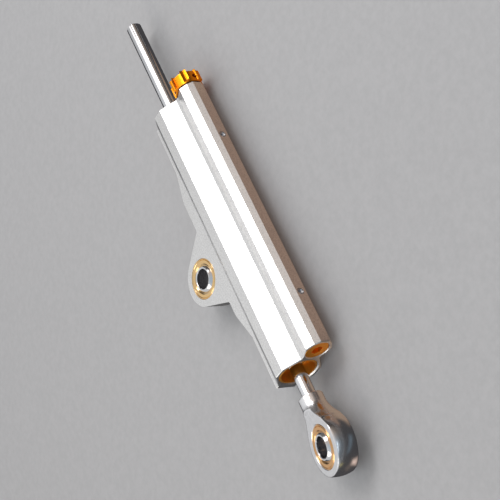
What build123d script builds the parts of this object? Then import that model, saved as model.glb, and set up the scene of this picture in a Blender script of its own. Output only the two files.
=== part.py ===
from build123d import *
import math
import os

# Steering damper for a motorcycle, lengths in millimetres.
#
# The origin is the centre of the ball bore in the body's lug. +X runs along the barrel
# towards the rod end, +Y from the lug across the rod to the side tube, and +Z along the
# lug's bolt. One rod passes right through the barrel. It carries the piston inside and
# the rod end in front. The side tube, the second bore of the same bar, holds the click
# adjuster at the rear and the spring-loaded separator at the front.

# Fits
STATIC_GAP = 0.02
RUNNING_GAP = 0.05
BUSH_GAP = 0.03
SEAT_GAP = 0.1
CUT_OVERRUN = 1.0

# Barrel: one machined bar with two bores, a plate between them and a lug
BARREL_LENGTH = 160.0
LUG_TO_REAR_FACE = 85.0
LUG_TO_ROD = 27.5
ROD_TO_SIDE = 17.5
PLATE_THICKNESS = 10.8
MAIN_HEIGHT = 22.8
MAIN_FLAT_WIDTH = 5.8
MAIN_FOOT_WIDTH = 21.8
RAIL_WIDTH = 1.7
VALLEY_WIDTH = 2.2
SIDE_CREST_HEIGHT = 15.0
SIDE_CREST_OFFSET = 1.5
SIDE_SHOULDER_HEIGHT = 10.2
SIDE_SHOULDER_OFFSET = 5.4
SIDE_EDGE_HEIGHT = 4.9
SIDE_EDGE_OFFSET = 7.4
END_CHAMFER = 0.3
WORKING_BORE_RADIUS = 8.5
HEAD_SEAT_RADIUS = 9.6
SIDE_BORE_RADIUS = 5.4
SIDE_SEAT_RADIUS = 5.95
HEAD_MOUTH_CHAMFER = 0.6
SIDE_MOUTH_CHAMFER = 0.3
PORT_RADIUS = 1.25
REAR_PORT_FROM_HEAD = 9.6
FRONT_PORT_FROM_HEAD = 2.1

# Lug, symmetric about its eye, on a bed that bulges out of the rail
LUG_RADIUS = 13.8
LUG_FOOT_WIDTH = 43.6
LUG_FOOT_RADIUS = 1.6
BED_HEIGHT = 4.5
BED_REAR_REACH = 40.0
BED_FRONT_REACH = 30.0
RAMP_LENGTH = 16.0
RAMP_RADIUS = 16.0

# Spherical bearings, alike in the lug and in the rod end
BALL_BORE_RADIUS = 5.0
BALL_RADIUS = 8.4
BALL_WIDTH = 12.0
BALL_BORE_CHAMFER = 0.4
RACE_RADIUS = 10.3
RACE_WIDTH = 10.5
RACE_MOUTH_RADIUS = 7.8
STAKE_GROOVE_RADIUS = 9.5
STAKE_GROOVE_WIDTH = 0.5
STAKE_GROOVE_DEPTH = 0.3

# Rod, in front of and behind the piston
ROD_RADIUS = 4.0
ROD_TIP_FROM_REAR_FACE = 63.8
ROD_TIP_CHAMFER = 0.8
NECK_RADIUS = 3.4
NECK_FROM_FRONT_FACE = 3.0
NECK_TAPER = 0.6
STUD_RADIUS = 3.0
STUD_LENGTH = 9.0
STUD_CHAMFER = 0.5
PISTON_FROM_REAR_HEAD = 31.5
CLIP_THICKNESS = 1.0
CLIP_RADIUS = 5.3
CLIP_GROOVE_DEPTH = 0.5

# Piston and its sliding band
PISTON_LENGTH = 13.0
PISTON_RADIUS = 8.25
PISTON_CHAMFER = 0.6
BAND_WIDTH = 4.0
BAND_THICKNESS = 1.0
PISTON_RING_WIDTH = 1.6
PISTON_RING_THICKNESS = 1.0
PISTON_RING_SPACING = 4.2

# Seal heads, one at each end of the main bore; depths run inward from the barrel's face
HEAD_RECESS = 0.4
HEAD_LIP_CHAMFER = 0.4
CUP_RADIUS = 8.6
CUP_DEPTH = 6.4
WIPER_SEAT_RADIUS = 6.2
WIPER_POCKET_LENGTH = 8.6
WIPER_LENGTH = 3.5
WIPER_LIP_THICKNESS = 0.7
ROD_HOLE_RADIUS = 4.25
ROD_SEAL_RADIUS = 6.4
ROD_SEAL_LENGTH = 3.4
ROD_SEAL_NOTCH = 1.2
BUSH_RADIUS = 5.0
BUSH_LENGTH = 5.2
HEAD_WEB = 1.2
HEAD_RING_FROM_OIL = 3.4
HEAD_RING_WIDTH = 2.2
HEAD_RING_THICKNESS = 1.5

# Squeezed O-rings: how far their corners are rounded, as a share of their thickness
RING_CORNER_SHARE = 0.28

# Rod end
SHANK_RADIUS = 6.0
SHANK_FROM_FRONT_FACE = 13.5
SHANK_CHAMFER = 0.4
EYE_FROM_FRONT_FACE = 38.5
EYE_FACE_RADIUS = 13.7
EYE_RIM_RADIUS = 14.4
EYE_EDGE_CHAMFER = 0.35
EYE_THICKNESS = 10.5
EYE_ROLL = 15.5
FLARE_START = 4.5
FLARE_MIDDLE = 10.0
FLARE_MIDDLE_RADIUS = 7.7
FLARE_END = 15.5
FLARE_END_RADIUS = 10.9
FLAT_START = 6.4
FLAT_RUNOUT = 1.4
FLAT_RUNOUT_HEIGHT = 1.5
STUD_HOLE_SPARE = 1.5

# Side plug in front, and the separator with its spring behind it
PLUG_LENGTH = 7.0
PLUG_RECESS = 0.3
PLUG_SOCKET_FLATS = 5.0
PLUG_SOCKET_DEPTH = 3.2
PLUG_EDGE_CHAMFER = 0.4
PLUG_RING_FROM_END = 1.2
SIDE_RING_WIDTH = 1.5
SIDE_RING_THICKNESS = 1.0
SEPARATOR_LENGTH = 6.0
SEPARATOR_FROM_PORT = 5.5
SEPARATOR_CUP_RADIUS = 3.9
SEPARATOR_CUP_DEPTH = 1.6
SPRING_RADIUS = 3.1
SPRING_WIRE_RADIUS = 0.4
SPRING_TURNS = 4

# Bleed screws in the outer edge of the side tube
BLEED_RADIUS = 1.8
BLEED_LENGTH = 1.7
BLEED_RECESS = 0.25
BLEED_SOCKET_FLATS = 1.8
BLEED_SOCKET_DEPTH = 1.0

# Click adjuster; depths run forward from the barrel's rear face
HOUSING_PROUD = 0.3
HOUSING_SEAT_LENGTH = 8.0
HOUSING_PAST_PORT = 11.1
SPINDLE_RADIUS = 1.5
SPINDLE_COLLAR_RADIUS = 2.35
SPINDLE_COLLAR_DEPTH = 5.0
SPINDLE_COLLAR_LENGTH = 2.0
SPINDLE_REACH = 12.0
HEX_FLATS = 5.0
CHAMBER_BEFORE_PORT = 10.6
CHAMBER_RADIUS = 3.2
VALVE_SEAT_LENGTH = 4.0
ORIFICE_RADIUS = 1.0
NEEDLE_TAIL_RADIUS = 1.0
NEEDLE_TAIL_DEPTH = 8.5
NEEDLE_GUIDE_DEPTH = 15.0
NEEDLE_GUIDE_LENGTH = 6.0
NEEDLE_STEM_RADIUS = 1.8
NEEDLE_TAPER_LENGTH = 6.0
NEEDLE_TIP_RADIUS = 0.5
NEEDLE_TIP_ENTRY = 0.8
HOUSING_RING_FROM_PORT = 4.9

# Adjuster knob, its grub screw and the click detent
KNOB_GAP = 0.6
KNOB_LENGTH = 7.9
KNOB_RADIUS = 8.9
KNOB_LOBES = 6
KNOB_LOBE_ANGLE = 37.0
KNOB_FLANGE_LENGTH = 0.9
KNOB_FLANGE_RADIUS = 7.5
SCALLOP_RADIUS = 2.9
SCALLOP_CENTRE_RADIUS = 8.9
SCALLOP_EDGE_RADIUS = 0.5
KNOB_EDGE_CHAMFER = 0.5
KNOB_RECESS_RADIUS = 4.4
KNOB_RECESS_DEPTH = 1.2
DETENT_TRACK_RADIUS = 4.0
DETENT_TRACK_WIDTH = 2.0
DETENT_TRACK_DEPTH = 0.7
DETENT_BALL_RADIUS = 0.75
DETENT_HOLE_DEPTH = 4.0
DETENT_WIRE_RADIUS = 0.14
DETENT_TURNS = 4
GRUB_RADIUS = 1.25
GRUB_LENGTH = 3.2
GRUB_FROM_REAR = 4.6
GRUB_ANGLE = -2.0
GRUB_SOCKET_FLATS = 1.3
GRUB_SOCKET_DEPTH = 1.0

# Places that follow from the sizes above
REAR_FACE = -LUG_TO_REAR_FACE
FRONT_FACE = REAR_FACE + BARREL_LENGTH
ROD_Y = LUG_TO_ROD
SIDE_Y = LUG_TO_ROD + ROD_TO_SIDE
RAIL_Y = ROD_Y - MAIN_FOOT_WIDTH / 2 - RAIL_WIDTH
OUTER_EDGE_Y = SIDE_Y + SIDE_EDGE_OFFSET
WIPER_SEAT_DEPTH = CUP_DEPTH + WIPER_POCKET_LENGTH
ROD_SEAL_DEPTH = WIPER_SEAT_DEPTH + HEAD_WEB
BUSH_DEPTH = ROD_SEAL_DEPTH + ROD_SEAL_LENGTH + HEAD_WEB
HEAD_LENGTH = BUSH_DEPTH + BUSH_LENGTH
HEAD_RING_DEPTH = HEAD_LENGTH - HEAD_RING_FROM_OIL - HEAD_RING_WIDTH
REAR_PORT_X = REAR_FACE + HEAD_LENGTH + REAR_PORT_FROM_HEAD
FRONT_PORT_X = FRONT_FACE - HEAD_LENGTH - FRONT_PORT_FROM_HEAD
EYE_X = FRONT_FACE + EYE_FROM_FRONT_FACE
SHANK_X = FRONT_FACE + SHANK_FROM_FRONT_FACE
PISTON_X = REAR_FACE + HEAD_LENGTH + PISTON_FROM_REAR_HEAD
PLUG_INNER_X = FRONT_FACE - PLUG_RECESS - PLUG_LENGTH
SEPARATOR_X = FRONT_PORT_X + SEPARATOR_FROM_PORT
HOUSING_FRONT_X = REAR_PORT_X + HOUSING_PAST_PORT
CHAMBER_X = REAR_PORT_X - CHAMBER_BEFORE_PORT
KNOB_FRONT_X = REAR_FACE - KNOB_GAP
KNOB_REAR_X = KNOB_FRONT_X - KNOB_LENGTH


def turned(outline, centre_y):
    """Turn (place along X, radius) points about an axis along X at centre_y."""
    face = make_face(Polyline(*outline, close=True))
    return Pos(0, centre_y, 0) * revolve(face, Axis.X)


def round_bar(start, end, radius, centre_y):
    """A plain round bar along X."""
    return turned([(start, 0), (start, radius), (end, radius), (end, 0)], centre_y)


def collar(start, end, inner, outer, centre_y):
    """A plain ring along X."""
    return turned([(start, inner), (start, outer), (end, outer), (end, inner)], centre_y)


def squeezed_ring(start, width, inner, outer, centre_y):
    """An O-ring as it sits in its groove: a ring with well rounded corners."""
    corner = RING_CORNER_SHARE * (outer - inner)
    end = start + width
    outline = [
        (start, inner + corner),
        (start, outer - corner),
        (start + corner, outer),
        (end - corner, outer),
        (end, outer - corner),
        (end, inner + corner),
        (end - corner, inner),
        (start + corner, inner),
    ]
    return turned(outline, centre_y)


def hex_bar(start, end, flats, centre_y):
    """A hexagonal bar along X, two of its corners on the Y axis."""
    plane = Plane(origin=(start, centre_y, 0), x_dir=(0, 1, 0), z_dir=(1, 0, 0))
    return extrude(plane * RegularPolygon(flats / 2, 6, major_radius=False), end - start)


def cross_drill(x, start_y, end_y, radius):
    """A round hole or pin along Y."""
    plane = Plane(origin=(x, start_y, 0), x_dir=(1, 0, 0), z_dir=(0, 1, 0))
    return extrude(plane * Circle(radius), end_y - start_y)


def coil_spring(start, end, radius, wire_radius, turns, centre):
    """A wire coil along X whose ends stand the wire's radius inside start and end."""
    length = end - start - 2 * wire_radius
    low = start + wire_radius
    path = Helix(length / turns, length, radius, center=(low, *centre), direction=(1, 0, 0))
    section = Plane(origin=path @ 0, z_dir=path % 0) * RegularPolygon(wire_radius, 6)
    return sweep(section, path)


def at_end(outline, face_x, inward, centre_y):
    """Turn a (depth, radius) outline whose depth runs inward from one end face."""
    return turned([(face_x + inward * depth, radius) for depth, radius in outline], centre_y)


# Barrel
def barrel_section():
    """Half outline of the bar seen along X, from the rail over the top to the outer edge."""
    plate = PLATE_THICKNESS / 2
    foot = MAIN_FOOT_WIDTH / 2
    return [
        (-foot - RAIL_WIDTH, plate),
        (-foot, plate),
        (-MAIN_FLAT_WIDTH / 2, MAIN_HEIGHT / 2),
        (MAIN_FLAT_WIDTH / 2, MAIN_HEIGHT / 2),
        (foot, plate),
        (foot + VALLEY_WIDTH, plate),
        (ROD_TO_SIDE + SIDE_CREST_OFFSET, SIDE_CREST_HEIGHT / 2),
        (ROD_TO_SIDE + SIDE_SHOULDER_OFFSET, SIDE_SHOULDER_HEIGHT / 2),
        (ROD_TO_SIDE + SIDE_EDGE_OFFSET, SIDE_EDGE_HEIGHT / 2),
    ]


def bar_body():
    """The faceted bar over its whole length, its ends chamfered all round."""
    half = barrel_section()
    mirrored = [(y, -z) for y, z in reversed(half)]
    plane = Plane(origin=(REAR_FACE, ROD_Y, 0), x_dir=(0, 1, 0), z_dir=(1, 0, 0))
    bar = extrude(plane * make_face(Polyline(*half, *mirrored, close=True)), BARREL_LENGTH)
    ends = bar.faces().filter_by(Axis.X)
    return chamfer([edge for face in ends for edge in face.edges()], END_CHAMFER)


def lug_plate():
    """The lug and the bed that it stands on, as one plate on the rail."""
    bed_y = RAIL_Y - BED_HEIGHT
    foot = LUG_FOOT_WIDTH / 2
    foot_distance = math.hypot(foot, bed_y)
    turn = math.atan2(bed_y, foot) - math.acos(LUG_RADIUS / foot_distance)
    touch_x = LUG_RADIUS * math.cos(turn)
    touch_y = LUG_RADIUS * math.sin(turn)
    inner_y = ROD_Y - MAIN_FOOT_WIDTH / 2
    corners = [
        (-BED_REAR_REACH - RAMP_LENGTH, inner_y),
        (-BED_REAR_REACH - RAMP_LENGTH, RAIL_Y),
        (-BED_REAR_REACH, bed_y),
        (-foot, bed_y),
        (-touch_x, touch_y),
        (touch_x, touch_y),
        (foot, bed_y),
        (BED_FRONT_REACH, bed_y),
        (BED_FRONT_REACH + RAMP_LENGTH, RAIL_Y),
        (BED_FRONT_REACH + RAMP_LENGTH, inner_y),
    ]
    corner_radii = [0, 0, RAMP_RADIUS, LUG_FOOT_RADIUS, 0, 0, LUG_FOOT_RADIUS, RAMP_RADIUS, 0, 0]
    outline = FilletPolyline(*corners, radius=corner_radii, close=True)
    flat = make_face(outline) + Circle(LUG_RADIUS)
    return extrude(Pos(0, 0, -PLATE_THICKNESS / 2) * flat, PLATE_THICKNESS)


def bleed_hole(port_x):
    """The drilling for one bleed screw and the port that it closes off."""
    start = ROD_Y + WORKING_BORE_RADIUS - CUT_OVERRUN
    port = cross_drill(port_x, start, SIDE_Y, PORT_RADIUS)
    return port + cross_drill(port_x, SIDE_Y, OUTER_EDGE_Y + CUT_OVERRUN, BLEED_RADIUS)


def bore_mouth(face_x, inward, radius, edge, centre_y):
    """The cone that breaks the edge of a bore where it opens in an end face."""
    outline = [
        (-CUT_OVERRUN, 0),
        (-CUT_OVERRUN, radius + edge + CUT_OVERRUN),
        (edge, radius),
        (edge, 0),
    ]
    return at_end(outline, face_x, inward, centre_y)


def barrel():
    """Bar and lug in one piece, with its stepped bores, its ports and the lug's eye."""
    body = bar_body() + lug_plate()
    eye = Cylinder(RACE_RADIUS, PLATE_THICKNESS + 2 * CUT_OVERRUN)
    rear, front = REAR_FACE - CUT_OVERRUN, FRONT_FACE + CUT_OVERRUN
    bores = round_bar(rear, front, WORKING_BORE_RADIUS, ROD_Y)
    bores += round_bar(rear, REAR_FACE + HEAD_LENGTH, HEAD_SEAT_RADIUS, ROD_Y)
    bores += round_bar(FRONT_FACE - HEAD_LENGTH, front, HEAD_SEAT_RADIUS, ROD_Y)
    side = round_bar(rear, front, SIDE_BORE_RADIUS, SIDE_Y)
    side += round_bar(rear, REAR_FACE + HOUSING_SEAT_LENGTH, SIDE_SEAT_RADIUS, SIDE_Y)
    side += round_bar(PLUG_INNER_X, front, SIDE_SEAT_RADIUS, SIDE_Y)
    for face_x, inward in ((REAR_FACE, 1), (FRONT_FACE, -1)):
        bores += bore_mouth(face_x, inward, HEAD_SEAT_RADIUS, HEAD_MOUTH_CHAMFER, ROD_Y)
        side += bore_mouth(face_x, inward, SIDE_SEAT_RADIUS, SIDE_MOUTH_CHAMFER, SIDE_Y)
    return body - eye - bores - side - bleed_hole(REAR_PORT_X) - bleed_hole(FRONT_PORT_X)


# Spherical bearings
def ball():
    """A bearing ball with flat faces and a chamfered bore along Z, at the origin."""
    half = BALL_WIDTH / 2
    face_radius = math.sqrt(BALL_RADIUS**2 - half**2)
    bore = BALL_BORE_RADIUS
    lip = bore + BALL_BORE_CHAMFER
    chamfer_z = half - BALL_BORE_CHAMFER
    edges = ThreePointArc((face_radius, -half), (BALL_RADIUS, 0), (face_radius, half))
    edges += Polyline(
        (face_radius, half),
        (lip, half),
        (bore, chamfer_z),
        (bore, -chamfer_z),
        (lip, -half),
        (face_radius, -half),
    )
    return revolve(Plane.XZ * make_face(edges), Axis.Z)


def race():
    """The outer ring of a bearing, with a staking groove in each face, at the origin."""
    half = RACE_WIDTH / 2
    outer = RACE_RADIUS - STATIC_GAP
    groove_in = STAKE_GROOVE_RADIUS - STAKE_GROOVE_WIDTH / 2
    groove_out = STAKE_GROOVE_RADIUS + STAKE_GROOVE_WIDTH / 2
    mouth_drop = RACE_MOUTH_RADIUS - BALL_BORE_RADIUS
    upper = [
        (BALL_BORE_RADIUS, half - mouth_drop),
        (RACE_MOUTH_RADIUS, half),
        (groove_in, half),
        (STAKE_GROOVE_RADIUS, half - STAKE_GROOVE_DEPTH),
        (groove_out, half),
        (outer, half),
    ]
    lower = [(radius, -z) for radius, z in reversed(upper)]
    ring = revolve(Plane.XZ * make_face(Polyline(*upper, *lower, close=True)), Axis.Z)
    return ring - Sphere(BALL_RADIUS + RUNNING_GAP)


def on_rod_end(shape):
    """Carry a shape made at the origin to the rod end's eye, rolled with it about the rod."""
    return Pos(0, ROD_Y, 0) * Rot(EYE_ROLL, 0, 0) * Pos(EYE_X, 0, 0) * shape


# Seal heads
def seal_head(face_x, inward):
    """A screwed-in head: cup outside, then seats for wiper, rod seal and guide bush."""
    outer = HEAD_SEAT_RADIUS - STATIC_GAP
    ring_floor = HEAD_SEAT_RADIUS - HEAD_RING_THICKNESS
    ring_end = HEAD_RING_DEPTH + HEAD_RING_WIDTH
    seal_end = ROD_SEAL_DEPTH + ROD_SEAL_LENGTH
    outline = [
        (HEAD_RECESS, outer - HEAD_LIP_CHAMFER),
        (HEAD_RECESS + HEAD_LIP_CHAMFER, outer),
        (HEAD_RING_DEPTH, outer),
        (HEAD_RING_DEPTH, ring_floor),
        (ring_end, ring_floor),
        (ring_end, outer),
        (HEAD_LENGTH, outer),
        (HEAD_LENGTH, BUSH_RADIUS),
        (BUSH_DEPTH, BUSH_RADIUS),
        (BUSH_DEPTH, ROD_HOLE_RADIUS),
        (seal_end, ROD_HOLE_RADIUS),
        (seal_end, ROD_SEAL_RADIUS),
        (ROD_SEAL_DEPTH, ROD_SEAL_RADIUS),
        (ROD_SEAL_DEPTH, ROD_HOLE_RADIUS),
        (WIPER_SEAT_DEPTH, ROD_HOLE_RADIUS),
        (WIPER_SEAT_DEPTH, WIPER_SEAT_RADIUS),
        (CUP_DEPTH, WIPER_SEAT_RADIUS),
        (CUP_DEPTH, CUP_RADIUS),
        (HEAD_RECESS, CUP_RADIUS),
    ]
    return at_end(outline, face_x, inward, ROD_Y)


def head_ring(face_x, inward):
    """The O-ring between a seal head and the barrel."""
    start = face_x + inward * (HEAD_RING_DEPTH + HEAD_RING_WIDTH / 2) - HEAD_RING_WIDTH / 2
    inner = HEAD_SEAT_RADIUS - HEAD_RING_THICKNESS + STATIC_GAP
    outer = HEAD_SEAT_RADIUS - STATIC_GAP
    ring = squeezed_ring(start + STATIC_GAP, HEAD_RING_WIDTH - 2 * STATIC_GAP, inner, outer, ROD_Y)
    return ring


def wiper(face_x, inward):
    """A wiper ring whose lip points out of the head."""
    inner = ROD_RADIUS + RUNNING_GAP
    outer = WIPER_SEAT_RADIUS - STATIC_GAP
    start = WIPER_SEAT_DEPTH - WIPER_LENGTH
    middle = WIPER_SEAT_DEPTH - WIPER_LENGTH / 2
    outline = [
        (start, inner),
        (start, inner + WIPER_LIP_THICKNESS),
        (middle, outer),
        (WIPER_SEAT_DEPTH - STATIC_GAP, outer),
        (WIPER_SEAT_DEPTH - STATIC_GAP, inner),
    ]
    return at_end(outline, face_x, inward, ROD_Y)


def rod_seal(face_x, inward):
    """A U-cup seal, open towards the oil."""
    inner = ROD_RADIUS + RUNNING_GAP
    outer = ROD_SEAL_RADIUS - STATIC_GAP
    start = ROD_SEAL_DEPTH + STATIC_GAP
    end = ROD_SEAL_DEPTH + ROD_SEAL_LENGTH - STATIC_GAP
    quarter = (outer - inner) / 4
    outline = [
        (start, inner),
        (start, outer),
        (end, outer),
        (end, outer - quarter),
        (end - ROD_SEAL_NOTCH, (inner + outer) / 2),
        (end, inner + quarter),
        (end, inner),
    ]
    return at_end(outline, face_x, inward, ROD_Y)


def guide_bush(face_x, inward):
    """The plain bush that the rod slides in."""
    inner = ROD_RADIUS + BUSH_GAP
    outer = BUSH_RADIUS - STATIC_GAP
    outline = [(BUSH_DEPTH, inner), (BUSH_DEPTH, outer), (HEAD_LENGTH, outer), (HEAD_LENGTH, inner)]
    return at_end(outline, face_x, inward, ROD_Y)


# Rod and piston
def clip_places():
    """Start and end of the two clips that hold the piston on the rod."""
    rear_end = PISTON_X - PISTON_LENGTH / 2
    front_start = PISTON_X + PISTON_LENGTH / 2
    return [(rear_end - CLIP_THICKNESS, rear_end), (front_start, front_start + CLIP_THICKNESS)]


def piston_rod():
    """The ground rod, with its clip grooves, its neck and the stud for the rod end."""
    tip = REAR_FACE - ROD_TIP_FROM_REAR_FACE
    neck = FRONT_FACE - NECK_FROM_FRONT_FACE
    stud_end = SHANK_X + STUD_LENGTH
    floor = ROD_RADIUS - CLIP_GROOVE_DEPTH
    outline = [(tip, 0), (tip, ROD_RADIUS - ROD_TIP_CHAMFER), (tip + ROD_TIP_CHAMFER, ROD_RADIUS)]
    for start, end in clip_places():
        outline += [(start, ROD_RADIUS), (start, floor), (end, floor), (end, ROD_RADIUS)]
    outline += [
        (neck - NECK_TAPER, ROD_RADIUS),
        (neck, NECK_RADIUS),
        (SHANK_X, NECK_RADIUS),
        (SHANK_X, STUD_RADIUS),
        (stud_end - STUD_CHAMFER, STUD_RADIUS),
        (stud_end, STUD_RADIUS - STUD_CHAMFER),
        (stud_end, 0),
    ]
    return turned(outline, ROD_Y)


def piston_clips():
    """The two snap rings, one on each side of the piston."""
    inner = ROD_RADIUS - CLIP_GROOVE_DEPTH + STATIC_GAP
    rings = []
    for start, end in clip_places():
        rings.append(collar(start, end, inner, CLIP_RADIUS, ROD_Y))
    return rings


def piston():
    """The piston, with a wide groove for the band and two narrow ones for its rings."""
    rear, front = PISTON_X - PISTON_LENGTH / 2, PISTON_X + PISTON_LENGTH / 2
    outer = PISTON_RADIUS
    outline = [(rear, outer - PISTON_CHAMFER), (rear + PISTON_CHAMFER, outer)]
    grooves = [
        (PISTON_X - PISTON_RING_SPACING, PISTON_RING_WIDTH, PISTON_RING_THICKNESS),
        (PISTON_X, BAND_WIDTH, BAND_THICKNESS),
        (PISTON_X + PISTON_RING_SPACING, PISTON_RING_WIDTH, PISTON_RING_THICKNESS),
    ]
    for middle, width, thickness in grooves:
        start, end, floor = middle - width / 2, middle + width / 2, outer - thickness
        outline += [(start, outer), (start, floor), (end, floor), (end, outer)]
    outline += [(front - PISTON_CHAMFER, outer), (front, outer - PISTON_CHAMFER)]
    bore = ROD_RADIUS + STATIC_GAP
    outline += [(front, bore), (rear, bore)]
    return turned(outline, ROD_Y)


def piston_band():
    """The low-friction band that guides the piston in the bore."""
    start = PISTON_X - BAND_WIDTH / 2 + RUNNING_GAP
    end = PISTON_X + BAND_WIDTH / 2 - RUNNING_GAP
    inner = PISTON_RADIUS - BAND_THICKNESS + RUNNING_GAP
    return collar(start, end, inner, WORKING_BORE_RADIUS - BUSH_GAP, ROD_Y)


def piston_rings():
    """The two rings that seal the piston in the bore."""
    inner = PISTON_RADIUS - PISTON_RING_THICKNESS + STATIC_GAP
    width = PISTON_RING_WIDTH - 2 * STATIC_GAP
    rings = []
    for side in (-1, 1):
        start = PISTON_X + side * PISTON_RING_SPACING - width / 2
        rings.append(collar(start, start + width, inner, WORKING_BORE_RADIUS - BUSH_GAP, ROD_Y))
    return rings


# Rod end
def rod_end():
    """The forged eye: a round shank that flares into a flat-sided head with a crowned rim."""
    half = EYE_THICKNESS / 2
    shank_rear = -(EYE_X - SHANK_X)
    flare = Polyline(
        (0, 0),
        (shank_rear, 0),
        (shank_rear, SHANK_RADIUS - SHANK_CHAMFER),
        (shank_rear + SHANK_CHAMFER, SHANK_RADIUS),
        (shank_rear + FLARE_START, SHANK_RADIUS),
    )
    flare += ThreePointArc(
        (shank_rear + FLARE_START, SHANK_RADIUS),
        (shank_rear + FLARE_MIDDLE, FLARE_MIDDLE_RADIUS),
        (shank_rear + FLARE_END, FLARE_END_RADIUS),
    )
    flare += Polyline((shank_rear + FLARE_END, FLARE_END_RADIUS), (0, FLARE_END_RADIUS), (0, 0))
    shank = revolve(make_face(flare), Axis.X)
    face_edge = EYE_FACE_RADIUS - EYE_EDGE_CHAMFER
    chamfer_z = half - EYE_EDGE_CHAMFER
    rim = ThreePointArc((EYE_FACE_RADIUS, -chamfer_z), (EYE_RIM_RADIUS, 0), (EYE_FACE_RADIUS, chamfer_z))
    rim += Polyline(
        (EYE_FACE_RADIUS, chamfer_z),
        (face_edge, half),
        (0, half),
        (0, -half),
        (face_edge, -half),
        (EYE_FACE_RADIUS, -chamfer_z),
    )
    head = revolve(Plane.XZ * make_face(rim), Axis.Z)
    forging = (shank & flat_envelope(shank_rear, half)) + head
    stud_hole = STUD_LENGTH + STUD_HOLE_SPARE
    bore = turned(
        [
            (shank_rear - CUT_OVERRUN, 0),
            (shank_rear - CUT_OVERRUN, STUD_RADIUS + STATIC_GAP),
            (shank_rear + stud_hole, STUD_RADIUS + STATIC_GAP),
            (shank_rear + stud_hole, 0),
        ],
        0,
    )
    eye = Cylinder(RACE_RADIUS, EYE_THICKNESS + 2 * CUT_OVERRUN)
    return on_rod_end(forging - bore - eye)


def flat_envelope(shank_rear, half):
    """The space between the eye's two flats, which run out on the round shank."""
    flat_x = shank_rear + FLAT_START + FLAT_RUNOUT
    upper = [
        (shank_rear, half + FLAT_RUNOUT_HEIGHT),
        (shank_rear + FLAT_START, half + FLAT_RUNOUT_HEIGHT),
        (flat_x, half),
        (0, half),
    ]
    lower = [(x, -z) for x, z in reversed(upper)]
    face = Plane.XZ * make_face(Polyline(*upper, *lower, close=True))
    return extrude(face, EYE_RIM_RADIUS, both=True)


# Side tube, front: plug, separator and spring
def side_plug():
    """The screwed plug with a hexagon socket and an O-ring groove."""
    front = FRONT_FACE - PLUG_RECESS
    outer = SIDE_SEAT_RADIUS - STATIC_GAP
    floor = SIDE_SEAT_RADIUS - SIDE_RING_THICKNESS
    groove = PLUG_INNER_X + PLUG_RING_FROM_END
    outline = [
        (PLUG_INNER_X, 0),
        (PLUG_INNER_X, outer),
        (groove, outer),
        (groove, floor),
        (groove + SIDE_RING_WIDTH, floor),
        (groove + SIDE_RING_WIDTH, outer),
        (front - PLUG_EDGE_CHAMFER, outer),
        (front, outer - PLUG_EDGE_CHAMFER),
        (front, 0),
    ]
    socket = hex_bar(front - PLUG_SOCKET_DEPTH, front + CUT_OVERRUN, PLUG_SOCKET_FLATS, SIDE_Y)
    return turned(outline, SIDE_Y) - socket


def side_ring(start, seat_radius):
    """An O-ring in a groove that starts at the given place in the side tube."""
    inner = seat_radius - SIDE_RING_THICKNESS + STATIC_GAP
    outer = seat_radius - STATIC_GAP
    width = SIDE_RING_WIDTH - 2 * STATIC_GAP
    return squeezed_ring(start + STATIC_GAP, width, inner, outer, SIDE_Y)


def separator_ring_start():
    """Where the separator's O-ring groove starts."""
    return SEPARATOR_X + SEPARATOR_LENGTH / 2 - SIDE_RING_WIDTH


def separator_piston():
    """The floating piston that takes up the oil's expansion, cupped for its spring."""
    outer = SIDE_BORE_RADIUS - RUNNING_GAP
    floor = SIDE_BORE_RADIUS - SIDE_RING_THICKNESS
    groove = separator_ring_start()
    front = SEPARATOR_X + SEPARATOR_LENGTH
    cup = front - SEPARATOR_CUP_DEPTH
    outline = [
        (SEPARATOR_X, 0),
        (SEPARATOR_X, outer),
        (groove, outer),
        (groove, floor),
        (groove + SIDE_RING_WIDTH, floor),
        (groove + SIDE_RING_WIDTH, outer),
        (front, outer),
        (front, SEPARATOR_CUP_RADIUS),
        (cup, SEPARATOR_CUP_RADIUS),
        (cup, 0),
    ]
    return turned(outline, SIDE_Y)


def separator_ring():
    """The separator's sliding seal, clear of the bore by the running gap."""
    inner = SIDE_BORE_RADIUS - SIDE_RING_THICKNESS + STATIC_GAP
    outer = SIDE_BORE_RADIUS - BUSH_GAP
    start = separator_ring_start() + STATIC_GAP
    return squeezed_ring(start, SIDE_RING_WIDTH - 2 * STATIC_GAP, inner, outer, SIDE_Y)


def separator_spring():
    """The coil spring between the plug and the separator's cup."""
    start = SEPARATOR_X + SEPARATOR_LENGTH - SEPARATOR_CUP_DEPTH + SEAT_GAP
    end = PLUG_INNER_X - SEAT_GAP
    return coil_spring(start, end, SPRING_RADIUS, SPRING_WIRE_RADIUS, SPRING_TURNS, (SIDE_Y, 0))


def bleed_screws():
    """The two socket screws that close the port drillings."""
    face_y = OUTER_EDGE_Y - BLEED_RECESS
    screws = []
    for port_x in (REAR_PORT_X, FRONT_PORT_X):
        screw = cross_drill(port_x, face_y - BLEED_LENGTH, face_y, BLEED_RADIUS - STATIC_GAP)
        plane = Plane(origin=(port_x, face_y, 0), x_dir=(1, 0, 0), z_dir=(0, -1, 0))
        hexagon = RegularPolygon(BLEED_SOCKET_FLATS / 2, 6, major_radius=False)
        screws.append(screw - extrude(plane * hexagon, BLEED_SOCKET_DEPTH))
    return screws


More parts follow.
